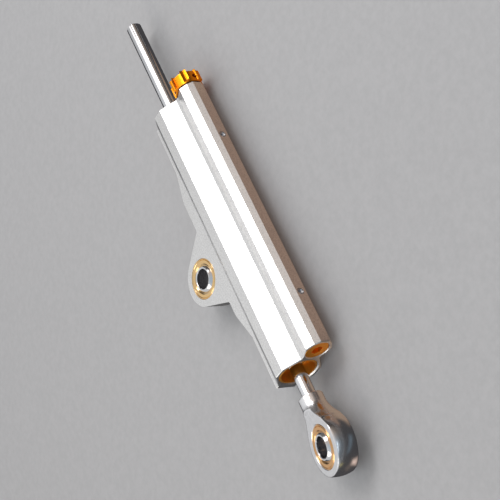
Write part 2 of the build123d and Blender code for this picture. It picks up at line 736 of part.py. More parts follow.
# Side tube, rear: adjuster
def adjuster_housing():
    """The insert that carries spindle, needle and valve seat, cross-drilled at the port."""
    rear = REAR_FACE - HOUSING_PROUD
    seat_end = REAR_FACE + HOUSING_SEAT_LENGTH
    outer = SIDE_BORE_RADIUS - STATIC_GAP
    floor = SIDE_BORE_RADIUS - SIDE_RING_THICKNESS
    outline = [(rear, 0), (rear, SIDE_SEAT_RADIUS - STATIC_GAP), (seat_end, SIDE_SEAT_RADIUS - STATIC_GAP)]
    outline += [(seat_end, outer)]
    for start in housing_ring_starts():
        end = start + SIDE_RING_WIDTH
        outline += [(start, outer), (start, floor), (end, floor), (end, outer)]
    outline += [(HOUSING_FRONT_X, outer), (HOUSING_FRONT_X, 0)]
    housing = turned(outline, SIDE_Y)
    spindle_hole = round_bar(rear - CUT_OVERRUN, CHAMBER_X, SPINDLE_RADIUS + RUNNING_GAP, SIDE_Y)
    hexagon = hex_bar(REAR_FACE + SPINDLE_COLLAR_DEPTH, CHAMBER_X, HEX_FLATS, SIDE_Y)
    chamber = round_bar(CHAMBER_X, HOUSING_FRONT_X + CUT_OVERRUN, CHAMBER_RADIUS, SIDE_Y)
    ports = cross_drill(REAR_PORT_X, SIDE_Y - SIDE_BORE_RADIUS, SIDE_Y + SIDE_BORE_RADIUS, PORT_RADIUS)
    track_y, track_z = detent_place()
    hole_plane = Plane(origin=(rear, track_y, track_z), x_dir=(0, 1, 0), z_dir=(1, 0, 0))
    hole = extrude(hole_plane * Circle(DETENT_BALL_RADIUS + RUNNING_GAP), DETENT_HOLE_DEPTH)
    return housing - spindle_hole - hexagon - chamber - ports - hole


def housing_ring_starts():
    """Where the housing's two O-ring grooves start, one on each side of the rear port."""
    middle = REAR_PORT_X - SIDE_RING_WIDTH / 2
    reach = HOUSING_RING_FROM_PORT + SIDE_RING_WIDTH / 2
    return [middle - reach, middle + reach]


def housing_rings():
    """The two O-rings on the adjuster housing."""
    return [side_ring(start, SIDE_BORE_RADIUS) for start in housing_ring_starts()]


def valve_seat():
    """The pressed-in seat whose orifice the needle throttles."""
    start = HOUSING_FRONT_X - VALVE_SEAT_LENGTH
    return collar(start, HOUSING_FRONT_X, ORIFICE_RADIUS, CHAMBER_RADIUS - STATIC_GAP, SIDE_Y)


def adjuster_spindle():
    """The turning screw: held by its collar, tapped in front for the needle's tail."""
    rear = KNOB_REAR_X + KNOB_RECESS_DEPTH
    collar_rear = REAR_FACE + SPINDLE_COLLAR_DEPTH + RUNNING_GAP
    front = REAR_FACE + SPINDLE_REACH
    tapped = NEEDLE_TAIL_RADIUS + RUNNING_GAP
    outline = [
        (rear, 0),
        (rear, SPINDLE_RADIUS),
        (collar_rear, SPINDLE_RADIUS),
        (collar_rear, SPINDLE_COLLAR_RADIUS),
        (front, SPINDLE_COLLAR_RADIUS),
        (front, tapped),
        (collar_rear + SPINDLE_COLLAR_LENGTH, tapped),
        (collar_rear + SPINDLE_COLLAR_LENGTH, 0),
    ]
    return turned(outline, SIDE_Y)


def adjuster_needle():
    """The needle: threaded tail, hexagon guide that stops it turning, and a tapered nose."""
    tail = REAR_FACE + NEEDLE_TAIL_DEPTH
    guide = REAR_FACE + NEEDLE_GUIDE_DEPTH
    guide_end = guide + NEEDLE_GUIDE_LENGTH
    tip = HOUSING_FRONT_X - VALVE_SEAT_LENGTH + NEEDLE_TIP_ENTRY
    outline = [
        (tail, 0),
        (tail, NEEDLE_TAIL_RADIUS),
        (guide, NEEDLE_TAIL_RADIUS),
        (guide, NEEDLE_STEM_RADIUS),
        (tip - NEEDLE_TAPER_LENGTH, NEEDLE_STEM_RADIUS),
        (tip, NEEDLE_TIP_RADIUS),
        (tip, 0),
    ]
    return turned(outline, SIDE_Y) + hex_bar(guide, guide_end, HEX_FLATS - 2 * RUNNING_GAP, SIDE_Y)


def detent_place():
    """Where the click ball sits, straight above the side tube's axis."""
    return SIDE_Y, DETENT_TRACK_RADIUS


def detent_ball():
    """The click ball, its tip in the track under the knob."""
    tip = KNOB_FRONT_X - DETENT_TRACK_DEPTH + SEAT_GAP
    return Pos(tip + DETENT_BALL_RADIUS, *detent_place()) * Sphere(DETENT_BALL_RADIUS)


def detent_spring():
    """The small spring that pushes the click ball against the knob."""
    start = KNOB_FRONT_X - DETENT_TRACK_DEPTH + SEAT_GAP + 2 * DETENT_BALL_RADIUS + SEAT_GAP
    end = REAR_FACE - HOUSING_PROUD + DETENT_HOLE_DEPTH - SEAT_GAP
    radius = DETENT_BALL_RADIUS - DETENT_WIRE_RADIUS
    return coil_spring(start, end, radius, DETENT_WIRE_RADIUS, DETENT_TURNS, detent_place())


def grub_plane(radius):
    """A plane across the grub screw's axis, at the given distance from the knob's axis."""
    angle = math.radians(GRUB_ANGLE)
    outward = (0, math.cos(angle), math.sin(angle))
    x = KNOB_REAR_X + GRUB_FROM_REAR
    origin = (x, SIDE_Y + radius * outward[1], radius * outward[2])
    return Plane(origin=origin, x_dir=(1, 0, 0), z_dir=outward)


def knob():
    """The scalloped knob on its thin flange, with the click track underneath."""
    flower = Circle(KNOB_RADIUS)
    for lobe in range(KNOB_LOBES):
        angle = math.radians(KNOB_LOBE_ANGLE + (lobe + 0.5) * 360 / KNOB_LOBES)
        place = (SCALLOP_CENTRE_RADIUS * math.cos(angle), SCALLOP_CENTRE_RADIUS * math.sin(angle))
        flower -= Pos(*place) * Circle(SCALLOP_RADIUS)
    flower = fillet(flower.vertices(), SCALLOP_EDGE_RADIUS)
    plane = Plane(origin=(KNOB_REAR_X, SIDE_Y, 0), x_dir=(0, 1, 0), z_dir=(1, 0, 0))
    grip = extrude(plane * flower, KNOB_LENGTH - KNOB_FLANGE_LENGTH)
    cone = turned(
        [
            (KNOB_REAR_X, 0),
            (KNOB_REAR_X, KNOB_RADIUS - KNOB_EDGE_CHAMFER),
            (KNOB_REAR_X + KNOB_EDGE_CHAMFER, KNOB_RADIUS),
            (KNOB_FRONT_X, KNOB_RADIUS),
            (KNOB_FRONT_X, 0),
        ],
        SIDE_Y,
    )
    flange = round_bar(KNOB_FRONT_X - KNOB_FLANGE_LENGTH, KNOB_FRONT_X, KNOB_FLANGE_RADIUS, SIDE_Y)
    rear, front = KNOB_REAR_X - CUT_OVERRUN, KNOB_FRONT_X + CUT_OVERRUN
    bore = round_bar(rear, front, SPINDLE_RADIUS + STATIC_GAP, SIDE_Y)
    recess = round_bar(rear, KNOB_REAR_X + KNOB_RECESS_DEPTH, KNOB_RECESS_RADIUS, SIDE_Y)
    track = collar(
        KNOB_FRONT_X - DETENT_TRACK_DEPTH,
        KNOB_FRONT_X + CUT_OVERRUN,
        DETENT_TRACK_RADIUS - DETENT_TRACK_WIDTH / 2,
        DETENT_TRACK_RADIUS + DETENT_TRACK_WIDTH / 2,
        SIDE_Y,
    )
    hole = extrude(grub_plane(0) * Circle(GRUB_RADIUS), KNOB_RADIUS + CUT_OVERRUN)
    return (grip & cone) + flange - bore - recess - track - hole


def grub_screw():
    """The socket grub screw that clamps the knob on the spindle."""
    inner = SPINDLE_RADIUS + STATIC_GAP
    outer = inner + GRUB_LENGTH
    screw = extrude(grub_plane(inner) * Circle(GRUB_RADIUS - STATIC_GAP), GRUB_LENGTH)
    hexagon = RegularPolygon(GRUB_SOCKET_FLATS / 2, 6, major_radius=False)
    return screw - extrude(grub_plane(outer) * hexagon, -GRUB_SOCKET_DEPTH)


def save(name, shapes):
    """Write one named piece, or a group of alike pieces, as parts/name.step."""
    solids = [solid for shape in shapes for solid in shape.solids()]
    piece = solids[0] if len(solids) == 1 else Compound(children=solids)
    piece.label = name
    export_step(piece, f"parts/{name}.step")


def main():
    """Build every piece and write it."""
    os.makedirs("parts", exist_ok=True)
    front, rear = (FRONT_FACE, -1), (REAR_FACE, 1)
    save("barrel", [barrel()])
    save("mount_race", [race()])
    save("mount_ball", [ball()])
    save("front_seal_head", [seal_head(*front)])
    save("rear_seal_head", [seal_head(*rear)])
    save("head_o_rings", [head_ring(*front), head_ring(*rear)])
    save("front_wiper", [wiper(*front)])
    save("rear_wiper", [wiper(*rear)])
    save("front_rod_seal", [rod_seal(*front)])
    save("rear_rod_seal", [rod_seal(*rear)])
    save("front_guide_bush", [guide_bush(*front)])
    save("rear_guide_bush", [guide_bush(*rear)])
    save("piston_rod", [piston_rod()])
    save("piston", [piston()])
    save("piston_band", [piston_band()])
    save("piston_rings", piston_rings())
    save("piston_clips", piston_clips())
    save("rod_end", [rod_end()])
    save("rod_end_race", [on_rod_end(race())])
    save("rod_end_ball", [on_rod_end(ball())])
    save("side_plug", [side_plug()])
    save("side_plug_o_ring", [side_ring(PLUG_INNER_X + PLUG_RING_FROM_END, SIDE_SEAT_RADIUS)])
    save("separator_piston", [separator_piston()])
    save("separator_o_ring", [separator_ring()])
    save("separator_spring", [separator_spring()])
    save("bleed_screws", bleed_screws())
    save("adjuster_housing", [adjuster_housing()])
    save("housing_o_rings", housing_rings())
    save("valve_seat", [valve_seat()])
    save("adjuster_spindle", [adjuster_spindle()])
    save("adjuster_needle", [adjuster_needle()])
    save("detent_ball", [detent_ball()])
    save("detent_spring", [detent_spring()])
    save("adjuster_knob", [knob()])
    save("knob_grub_screw", [grub_screw()])


if __name__ == "__main__":
    main()
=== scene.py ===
import logging
import math
from collections.abc import Callable
from dataclasses import dataclass, replace
from enum import Enum
from functools import partialmethod
from types import SimpleNamespace
from typing import ClassVar

import bmesh
import bpy
from mathutils import Matrix, Vector


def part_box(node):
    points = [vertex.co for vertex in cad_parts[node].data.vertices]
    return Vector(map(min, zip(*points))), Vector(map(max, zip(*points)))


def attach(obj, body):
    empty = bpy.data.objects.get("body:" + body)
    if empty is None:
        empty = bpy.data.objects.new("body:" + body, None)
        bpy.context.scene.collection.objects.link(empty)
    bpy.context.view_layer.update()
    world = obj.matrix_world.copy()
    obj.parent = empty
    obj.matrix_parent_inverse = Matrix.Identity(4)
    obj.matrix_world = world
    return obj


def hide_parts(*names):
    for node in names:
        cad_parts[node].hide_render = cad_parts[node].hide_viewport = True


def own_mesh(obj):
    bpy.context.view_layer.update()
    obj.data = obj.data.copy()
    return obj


# Dressed model of a motorcycle steering damper. Everything is in metres, in the frame of
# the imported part: X runs along the barrel towards the rod end, Y from the lug across the
# rod to the side tube, Z along the lug's bolt, and the floor lies under the barrel.

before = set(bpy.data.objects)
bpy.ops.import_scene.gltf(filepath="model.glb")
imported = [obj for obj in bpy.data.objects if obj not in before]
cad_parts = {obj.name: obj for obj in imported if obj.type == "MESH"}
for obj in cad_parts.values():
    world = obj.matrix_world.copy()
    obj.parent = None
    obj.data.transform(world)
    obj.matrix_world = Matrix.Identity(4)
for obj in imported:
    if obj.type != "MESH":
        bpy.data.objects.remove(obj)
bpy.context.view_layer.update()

logging.basicConfig(level=logging.INFO, format="%(name)s: %(message)s")
log = logging.getLogger("damper")

Tree = bpy.types.NodeTree
Node = bpy.types.Node
Socket = bpy.types.NodeSocket
Mesh = bpy.types.Mesh
Piece = bpy.types.Object
RGB = tuple[float, float, float]
Place = tuple[float, float, float]
Point = tuple[float, float]
Outline = list[Point]

MM = 0.001

# Places shared by several sub-assemblies
ORIGIN = (0.0, 0.0, 0.0)
ROD_Y = 27.5 * MM
SIDE_Y = 45.0 * MM
EYE_X = 113.5 * MM
EYE_ROLL = math.radians(15.5)
FLOOR_Z = -11.45 * MM

# How finely meshes are made, and where their edges stay sharp
MERGE_DISTANCE = 0.002 * MM
FLAT_ANGLE = math.radians(0.6)
SHARP_ANGLE = math.radians(18.0)
ROUNDING_SEGMENTS = 2
EYE_SIDES = 144
ROUND_SIDES = 64
HEXAGON = 6

# Colours, and the middle of noise and of every soft change
WHITE = (1.0, 1.0, 1.0)
BLACK = (0.0, 0.0, 0.0)
WARM = (1.0, 0.93, 0.82)
COOL = (0.80, 0.91, 1.0)
MIDDLE = 0.5


# Node trees
def feed(slot: Socket, value: object) -> None:
    """Link a wire or a socket into a node's input, or set the input to a constant.

    Args:
        slot: The input to fill.
        value: A wire, an output socket, or a plain number, vector or colour.
    """
    source = value.socket if isinstance(value, Wire) else value
    if isinstance(source, Socket):
        slot.id_data.links.new(source, slot)
    else:
        slot.default_value = source


class Wire:
    """A number carried by a socket; arithmetic on it adds math nodes to its tree."""

    def __init__(self, socket: Socket) -> None:
        """Hold the socket."""
        self.socket = socket

    def apply(self, operation: str, *others: "Number") -> "Wire":
        """Add one math node.

        Args:
            operation: The math node's operation.
            others: Its second and third operand.

        Returns:
            The node's result.
        """
        node = self.socket.id_data.nodes.new("ShaderNodeMath")
        node.operation = operation
        for slot, value in zip(node.inputs, (self, *others)):
            feed(slot, value)
        return Wire(node.outputs[0])

    __add__ = partialmethod(apply, "ADD")
    __sub__ = partialmethod(apply, "SUBTRACT")
    __mul__ = partialmethod(apply, "MULTIPLY")
    __truediv__ = partialmethod(apply, "DIVIDE")
    __pow__ = partialmethod(apply, "POWER")
    __neg__ = partialmethod(apply, "MULTIPLY", -1.0)
    root = partialmethod(apply, "SQRT")
    absolute = partialmethod(apply, "ABSOLUTE")
    at_least = partialmethod(apply, "MAXIMUM")
    at_most = partialmethod(apply, "MINIMUM")
    soft_max = partialmethod(apply, "SMOOTH_MAX")
    soft_min = partialmethod(apply, "SMOOTH_MIN")

    def clamped(self) -> "Wire":
        """The number held between 0 and 1."""
        return self.at_least(0.0).at_most(1.0)


Number = Wire | float


class Board:
    """A node tree being laid out, for a material, a node group or a geometry tree."""

    def __init__(self, tree: Tree) -> None:
        """Hold the tree."""
        self.tree = tree

    def add(self, kind: str, inputs: dict[str, object] | None = None, **settings: object) -> Node:
        """Add a node.

        Args:
            kind: The node's type name.
            inputs: Wires, sockets or constants by input name.
            settings: The node's own properties.

        Returns:
            The new node.
        """
        node = self.tree.nodes.new(kind)
        for name, value in settings.items():
            setattr(node, name, value)
        for name, value in (inputs or {}).items():
            feed(node.inputs[name], value)
        return node

    def constant(self, value: Number) -> Wire:
        """A wire for a plain number, or the wire itself."""
        if isinstance(value, Wire):
            return value
        output = self.add("ShaderNodeValue").outputs[0]
        output.default_value = value
        return Wire(output)

    def split(self, vector: Socket) -> tuple[Wire, Wire, Wire]:
        """The three parts of a vector."""
        node = self.add("ShaderNodeSeparateXYZ", {"Vector": vector})
        return tuple(Wire(part) for part in node.outputs)

    def joined(self, x: Number, y: Number, z: Number) -> Socket:
        """A vector made of three numbers."""
        return self.add("ShaderNodeCombineXYZ", {"X": x, "Y": y, "Z": z}).outputs["Vector"]

    def mixed(self, share: Wire, first: Socket | RGB, second: Socket | RGB) -> Socket:
        """A blend of two colours, each a socket or a constant, by a share of the second."""
        node = self.add("ShaderNodeMix", data_type="RGBA")
        colours = [part if isinstance(part, Socket) else (*part, 1.0) for part in (first, second)]
        slots = [slot for slot in node.inputs if slot.enabled]
        for slot, value in zip(slots, (share, *colours)):
            feed(slot, value)
        return next(socket for socket in node.outputs if socket.enabled)

    def noise(self, vector: Socket, scale: Number, detail: float, **others: float) -> Wire:
        """Noise around its middle, with the node's other inputs by name."""
        inputs = {"Vector": vector, "Scale": scale, "Detail": detail, **others}
        return Wire(self.add("ShaderNodeTexNoise", inputs).outputs["Fac"])


class Kind(Enum):
    """Kinds of socket on a node group."""

    NUMBER = "NodeSocketFloat"
    VECTOR = "NodeSocketVector"
    GEOMETRY = "NodeSocketGeometry"
    MATERIAL = "NodeSocketMaterial"


Kinds = dict[str, Kind]


class Group(Board):
    """A node group being laid out, with its named inputs and outputs."""

    def __init__(self, name: str, family: str, inputs: Kinds, outputs: Kinds) -> None:
        """Start the group.

        Args:
            name: The group's name.
            family: ShaderNodeTree or GeometryNodeTree.
            inputs: Kind of each input, by name.
            outputs: Kind of each output, by name.
        """
        super().__init__(bpy.data.node_groups.new(name, family))
        for side, kinds in (("INPUT", inputs), ("OUTPUT", outputs)):
            for label, kind in kinds.items():
                self.tree.interface.new_socket(name=label, in_out=side, socket_type=kind.value)
        self.given = self.add("NodeGroupInput").outputs
        self.result = self.add("NodeGroupOutput").inputs


# Shared shader effects
FINE_DETAIL = 2.0
BROAD_DETAIL = 3.0
PIT_ROUGHNESS = 0.6
PIT_CONTRAST = 2.6
BROAD_SCALE_SHARE = 0.08
# Edge brightening: partly handling wear, partly a painted edge highlight
EDGE_SAMPLES = 4
EDGE_PATCHES_PER_METRE = 260.0
EDGE_PATCH_FROM = 0.3
EDGE_PATCH_CONTRAST = 2.0
EDGE_GAIN = 9.0
EDGE_POLISH = 0.1
SMEAR_STRETCH = (1.0, 2.6, 2.6)
SMEARS_PER_METRE = 38.0
SMEAR_DETAIL = 4.0
SMEAR_DISTORTION = 0.8
RELIEF = {"Height": Kind.NUMBER, "Tone": Kind.NUMBER}


def blasted_grain() -> Tree:
    """Fine pits from bead blasting: a height for the bump and a tone for the colour."""
    inputs = {"Vector": Kind.VECTOR, "Marks per Metre": Kind.NUMBER, "Unevenness": Kind.NUMBER}
    group = Group("blasted_grain", "ShaderNodeTree", inputs, RELIEF)
    vector = group.given["Vector"]
    scale = Wire(group.given["Marks per Metre"])
    fine = group.noise(vector, scale, FINE_DETAIL, Roughness=PIT_ROUGHNESS)
    uneven = group.noise(vector, scale * BROAD_SCALE_SHARE, BROAD_DETAIL) - MIDDLE
    tone = (fine - MIDDLE) * PIT_CONTRAST + uneven * Wire(group.given["Unevenness"]) + MIDDLE
    feed(group.result["Height"], fine)
    feed(group.result["Tone"], tone.clamped())
    return group.tree


def turned_lines() -> Tree:
    """Tool marks of a lathe: rings about the local X axis, on faces and on round walls."""
    inputs = {"Vector": Kind.VECTOR, "Marks per Metre": Kind.NUMBER}
    group = Group("turned_lines", "ShaderNodeTree", inputs, RELIEF)
    x, y, z = group.split(group.given["Vector"])
    radius = (y * y + z * z).root()
    per_metre = Wire(group.given["Marks per Metre"])
    across = group.joined((radius + x) * per_metre, (radius - x) * per_metre, 0.0)
    fine = group.noise(across, 1.0, FINE_DETAIL)
    feed(group.result["Height"], fine)
    feed(group.result["Tone"], fine)
    return group.tree


def edge_wear() -> Tree:
    """Where the edges are brightened, partly as handling wear and partly as a painted edge
    highlight: 0 on open surfaces, up to 1 on an edge.
    """
    inputs = {"Vector": Kind.VECTOR, "Reach": Kind.NUMBER}
    group = Group("edge_wear", "ShaderNodeTree", inputs, {"Mask": Kind.NUMBER})
    rounded = group.add("ShaderNodeBevel", {"Radius": group.given["Reach"]}, samples=EDGE_SAMPLES)
    flat = group.add("ShaderNodeNewGeometry")
    alike = group.add("ShaderNodeVectorMath", operation="DOT_PRODUCT")
    for slot, source in zip(alike.inputs, (rounded, flat)):
        feed(slot, source.outputs["Normal"])
    turn = -Wire(alike.outputs["Value"]) + 1.0
    patches = group.noise(group.given["Vector"], EDGE_PATCHES_PER_METRE, BROAD_DETAIL)
    share = (patches - EDGE_PATCH_FROM) * EDGE_PATCH_CONTRAST
    feed(group.result["Mask"], (turn * EDGE_GAIN * share.clamped()).clamped())
    return group.tree


def handling_marks() -> Tree:
    """Faint smears left by wiping: a number around 0 that shifts the roughness."""
    inputs = {"Vector": Kind.VECTOR}
    group = Group("handling_marks", "ShaderNodeTree", inputs, {"Shift": Kind.NUMBER})
    stretch = {"Vector": group.given["Vector"], "Scale": SMEAR_STRETCH}
    stretched = group.add("ShaderNodeMapping", stretch).outputs["Vector"]
    smears = group.noise(stretched, SMEARS_PER_METRE, SMEAR_DETAIL, Distortion=SMEAR_DISTORTION)
    feed(group.result["Shift"], smears - MIDDLE)
    return group.tree


def shared(effect: Callable[[], Tree]) -> Tree:
    """A shared effect's node group, made on first use; it has its function's name."""
    return bpy.data.node_groups.get(effect.__name__) or effect()


# Finishes
class Marks(Enum):
    """What the tool or process left on a surface."""

    BLASTED = "blasted"
    TURNED = "turned"


class Axis(Enum):
    """Which axis a turned surface was turned about: a place and a turn of local X."""

    ROD = ((0.0, ROD_Y, 0.0), ORIGIN)
    SIDE = ((0.0, SIDE_Y, 0.0), ORIGIN)
    LUG = (ORIGIN, (0.0, math.radians(-90), 0.0))
    EYE = ((EYE_X, ROD_Y, 0.0), (EYE_ROLL, math.radians(-90), 0.0))


@dataclass(frozen=True)
class Finish:
    """One surface finish and how its material is made."""

    name: str
    colour: RGB
    second_colour: RGB
    roughness: float
    metallic: float = 1.0
    marks: Marks = Marks.BLASTED
    axis: Axis = Axis.ROD
    marks_per_metre: float = 5200.0
    bump: float = 0.12
    bump_depth: float = 0.03 * MM
    unevenness: float = 0.3
    smear: float = 0.08
    # Edges brightened towards a paler colour: partly handling wear, partly a painted edge highlight
    wear: float = 0.0
    wear_reach: float = 0.35 * MM
    wear_colour: RGB = (0.9, 0.9, 0.9)
    specular: float = 0.5

    def material(self) -> bpy.types.Material:
        """The finish as a material, made on first use and shared after that.

        Returns:
            The material.
        """
        made = bpy.data.materials.get(self.name)
        if made:
            return made
        made = bpy.data.materials.new(self.name)
        made.use_nodes = True
        board = Board(made.node_tree)
        place, turn = self.axis.value
        axes = {"Vector": board.add("ShaderNodeTexCoord").outputs["Object"], "Location": place}
        mapping = board.add("ShaderNodeMapping", {**axes, "Rotation": turn}, vector_type="TEXTURE")
        local = mapping.outputs["Vector"]
        height, tone = self.marked(board, local)
        shown = board.mixed(tone, self.colour, self.second_colour)
        smears = board.add("ShaderNodeGroup", node_tree=shared(handling_marks))
        feed(smears.inputs["Vector"], local)
        roughness = Wire(smears.outputs["Shift"]) * self.smear + tone * self.smear + self.roughness
        # Brightened edges: partly handling wear, partly a painted edge highlight
        if self.wear:
            shown, roughness = self.worn(board, local, shown, roughness)
        relief = {"Strength": self.bump, "Distance": self.bump_depth, "Height": height}
        slots = made.node_tree.nodes["Principled BSDF"].inputs
        feed(slots["Base Color"], shown)
        feed(slots["Roughness"], roughness.clamped())
        feed(slots["Metallic"], self.metallic)
        feed(slots["Specular IOR Level"], self.specular)
        feed(slots["Normal"], board.add("ShaderNodeBump", relief).outputs["Normal"])
        return made

    def marked(self, board: Board, local: Socket) -> tuple[Wire, Wire]:
        """Height and tone of the marks.

        Args:
            board: The material's tree.
            local: Coordinates about the finish's axis.

        Returns:
            The height for the bump, and the tone that mixes the two colours.
        """
        blasted = self.marks is Marks.BLASTED
        effect = blasted_grain if blasted else turned_lines
        node = board.add("ShaderNodeGroup", node_tree=shared(effect))
        feed(node.inputs["Vector"], local)
        feed(node.inputs["Marks per Metre"], self.marks_per_metre)
        if blasted:
            feed(node.inputs["Unevenness"], self.unevenness)
        return Wire(node.outputs["Height"]), Wire(node.outputs["Tone"])

    def worn(
        self, board: Board, local: Socket, shown: Socket, roughness: Wire
    ) -> tuple[Socket, Wire]:
        """Brighten and smooth the edges: partly handling wear, partly a painted edge highlight.

        Args:
            board: The material's tree.
            local: Coordinates about the finish's axis.
            shown: The colour so far.
            roughness: The roughness so far.

        Returns:
            The colour and the roughness with the wear in them.
        """
        node = board.add("ShaderNodeGroup", node_tree=shared(edge_wear))
        feed(node.inputs["Vector"], local)
        feed(node.inputs["Reach"], self.wear_reach)
        mask = Wire(node.outputs["Mask"]) * self.wear
        return board.mixed(mask, shown, self.wear_colour), roughness - mask * EDGE_POLISH


# Where a finish brightens its edges, that is partly handling wear and partly a painted edge
# highlight
BLASTED_SILVER = Finish(
    "blasted_silver", (0.90, 0.90, 0.90), (0.68, 0.68, 0.68), roughness=0.33,
    marks_per_metre=1500.0, wear=0.5,
)
PLAIN_ALLOY = Finish(
    "plain_alloy", (0.75, 0.75, 0.76), (0.62, 0.62, 0.63), roughness=0.34, marks=Marks.TURNED,
    axis=Axis.SIDE,
)
HEAD_GOLD = Finish(
    "head_gold", (0.84, 0.38, 0.045), (0.72, 0.29, 0.03), roughness=0.34, metallic=0.7,
    marks=Marks.TURNED, wear=0.35, wear_colour=(1.0, 0.72, 0.3),
)
PLUG_GOLD = replace(
    HEAD_GOLD, name="plug_gold", colour=(0.95, 0.40, 0.03), second_colour=(0.84, 0.31, 0.02),
    roughness=0.3, metallic=0.85, axis=Axis.SIDE,
)
KNOB_GOLD = replace(
    PLUG_GOLD, name="knob_gold", colour=(0.97, 0.37, 0.014), second_colour=(0.88, 0.28, 0.008),
    roughness=0.22, metallic=1.0, wear_colour=(1.0, 0.62, 0.2),
)
CHROME = Finish(
    "hard_chrome", (0.80, 0.81, 0.83), (0.72, 0.73, 0.76), roughness=0.09, marks=Marks.TURNED,
    marks_per_metre=9000.0, bump=0.03, smear=0.05,
)
FORGED_STEEL = Finish(
    "polished_forging", (0.82, 0.82, 0.84), (0.77, 0.77, 0.79), roughness=0.2,
    marks_per_metre=500.0, bump=0.01, smear=0.05, wear=0.4,
)
LUG_BRONZE = Finish(
    "lug_race_bronze", (0.93, 0.66, 0.34), (0.70, 0.44, 0.18), roughness=0.15, marks=Marks.TURNED,
    axis=Axis.LUG, marks_per_metre=4200.0, wear=0.6, wear_colour=(1.0, 0.87, 0.62),
)
EYE_BRONZE = replace(
    LUG_BRONZE, name="eye_race_bronze", colour=(0.88, 0.52, 0.24), second_colour=(0.62, 0.33, 0.13),
    roughness=0.14, axis=Axis.EYE,
)
LUG_BALL_STEEL = Finish(
    "lug_ball_steel", (0.78, 0.78, 0.79), (0.66, 0.66, 0.68), roughness=0.1, marks=Marks.TURNED,
    axis=Axis.LUG, bump=0.05,
)
EYE_BALL_STEEL = replace(LUG_BALL_STEEL, name="eye_ball_steel", axis=Axis.EYE)
SCREW_STEEL = Finish(
    "screw_steel", (0.92, 0.92, 0.93), (0.80, 0.80, 0.82), roughness=0.16, marks_per_metre=3000.0,
)
SPRING_STEEL = replace(
    SCREW_STEEL, name="spring_steel", colour=(0.42, 0.42, 0.43), second_colour=(0.32, 0.32, 0.33),
    roughness=0.3,
)
SEAL_RUBBER = Finish(
    "seal_rubber", (0.018, 0.018, 0.019), (0.032, 0.032, 0.033), roughness=0.48, metallic=0.0,
    marks_per_metre=1800.0,
)
WIPER_PLASTIC = Finish(
    "wiper_plastic", (0.03, 0.03, 0.034), (0.05, 0.05, 0.055), roughness=0.4, metallic=0.0,
    marks=Marks.TURNED, marks_per_metre=3600.0,
)
BAND_PLASTIC = replace(
    SEAL_RUBBER, name="band_plastic", colour=(0.16, 0.10, 0.05), second_colour=(0.22, 0.14, 0.07),
    roughness=0.42,
)
BUSH_BRONZE = Finish(
    "bush_bronze", (0.72, 0.45, 0.2), (0.58, 0.34, 0.14), roughness=0.3, marks=Marks.TURNED,
    marks_per_metre=4200.0,
)
FLOOR_FINISH = Finish(
    "pale_floor", (0.46, 0.46, 0.47), (0.43, 0.43, 0.44), roughness=0.6, metallic=0.0,
    marks_per_metre=300.0, bump=0.02, specular=0.0,
)


# Meshes
def linked(name: str, data: bpy.types.ID) -> Piece:
    """Put an object with this data in the scene."""
    made = bpy.data.objects.new(name, data)
    bpy.context.scene.collection.objects.link(made)
    return made


def new_piece(name: str, mesh: Mesh, finish: Finish) -> Piece:
    """Put a mesh in the scene with one finish, and report it."""
    mesh.materials.clear()
    mesh.materials.append(finish.material())
    log.info("built %s with %d faces", name, len(mesh.polygons))
    return linked(name, mesh)


def mesh_of(shape: bmesh.types.BMesh, name: str) -> Mesh:
    """A new mesh with a shape that is done being edited."""
    mesh = bpy.data.meshes.new(name)
    shape.to_mesh(mesh)
    shape.free()
    return mesh


def smooth(mesh: Mesh) -> Mesh:
    """Shade a mesh smooth, with sharp edges where its faces meet at more than an angle."""
    mesh.shade_smooth()
    mesh.set_sharp_from_angle(angle=SHARP_ANGLE)
    return mesh


def softened_copy(node: str, name: str, finish: Finish, width: float) -> Piece:
    """A CAD node's shape with its machined edges broken by a small rounding.

    Args:
        node: The CAD node.
        name: The new piece's name.
        finish: Its finish.
        width: The width of the rounding.

    Returns:
        The piece.
    """
    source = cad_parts[node].data
    shape = bmesh.new()
    corners = [shape.verts.new(corner.co) for corner in source.vertices]
    for polygon in source.polygons:
        shape.faces.new([corners[index] for index in polygon.vertices])
    bmesh.ops.remove_doubles(shape, verts=shape.verts, dist=MERGE_DISTANCE)
    bmesh.ops.dissolve_limit(shape, angle_limit=FLAT_ANGLE, verts=shape.verts, edges=shape.edges)
    piece = new_piece(name, smooth(mesh_of(shape, name)), finish)
    rounding = piece.modifiers.new("rounding", "BEVEL")
    rounding.width = width
    rounding.segments = ROUNDING_SEGMENTS
    rounding.limit_method = "ANGLE"
    rounding.angle_limit = SHARP_ANGLE
    rounding.use_clamp_overlap = True
    rounding.harden_normals = True
    return piece


def turned_mesh(name: str, outline: Outline, steps: int, axis: Axis) -> Mesh:
    """Turn a closed outline about local X, and carry the result to its axis.

    Args:
        name: The mesh's name.
        outline: Its points in order, each a place along X and a radius above 0.
        steps: How many steps the turn has.
        axis: Where local X lies in the part.

    Returns:
        The mesh, with its faces pointing outwards.
    """
    shape = bmesh.new()
    rings = []
    for step in range(steps):
        angle = math.tau * step / steps
        y, z = math.cos(angle), math.sin(angle)
        rings.append([shape.verts.new((x, radius * y, radius * z)) for x, radius in outline])
    count = len(outline)
    for step, ring in enumerate(rings):
        following = rings[(step + 1) % steps]
        for index in range(count):
            after = (index + 1) % count
            shape.faces.new((ring[index], ring[after], following[after], following[index]))
    bmesh.ops.recalc_face_normals(shape, faces=shape.faces)
    mesh = mesh_of(shape, name)
    place, turn = axis.value
    rotation = Matrix.Rotation(turn[0], 4, "X") @ Matrix.Rotation(turn[1], 4, "Y")
    mesh.transform(Matrix.Translation(place) @ rotation)
    return smooth(mesh)


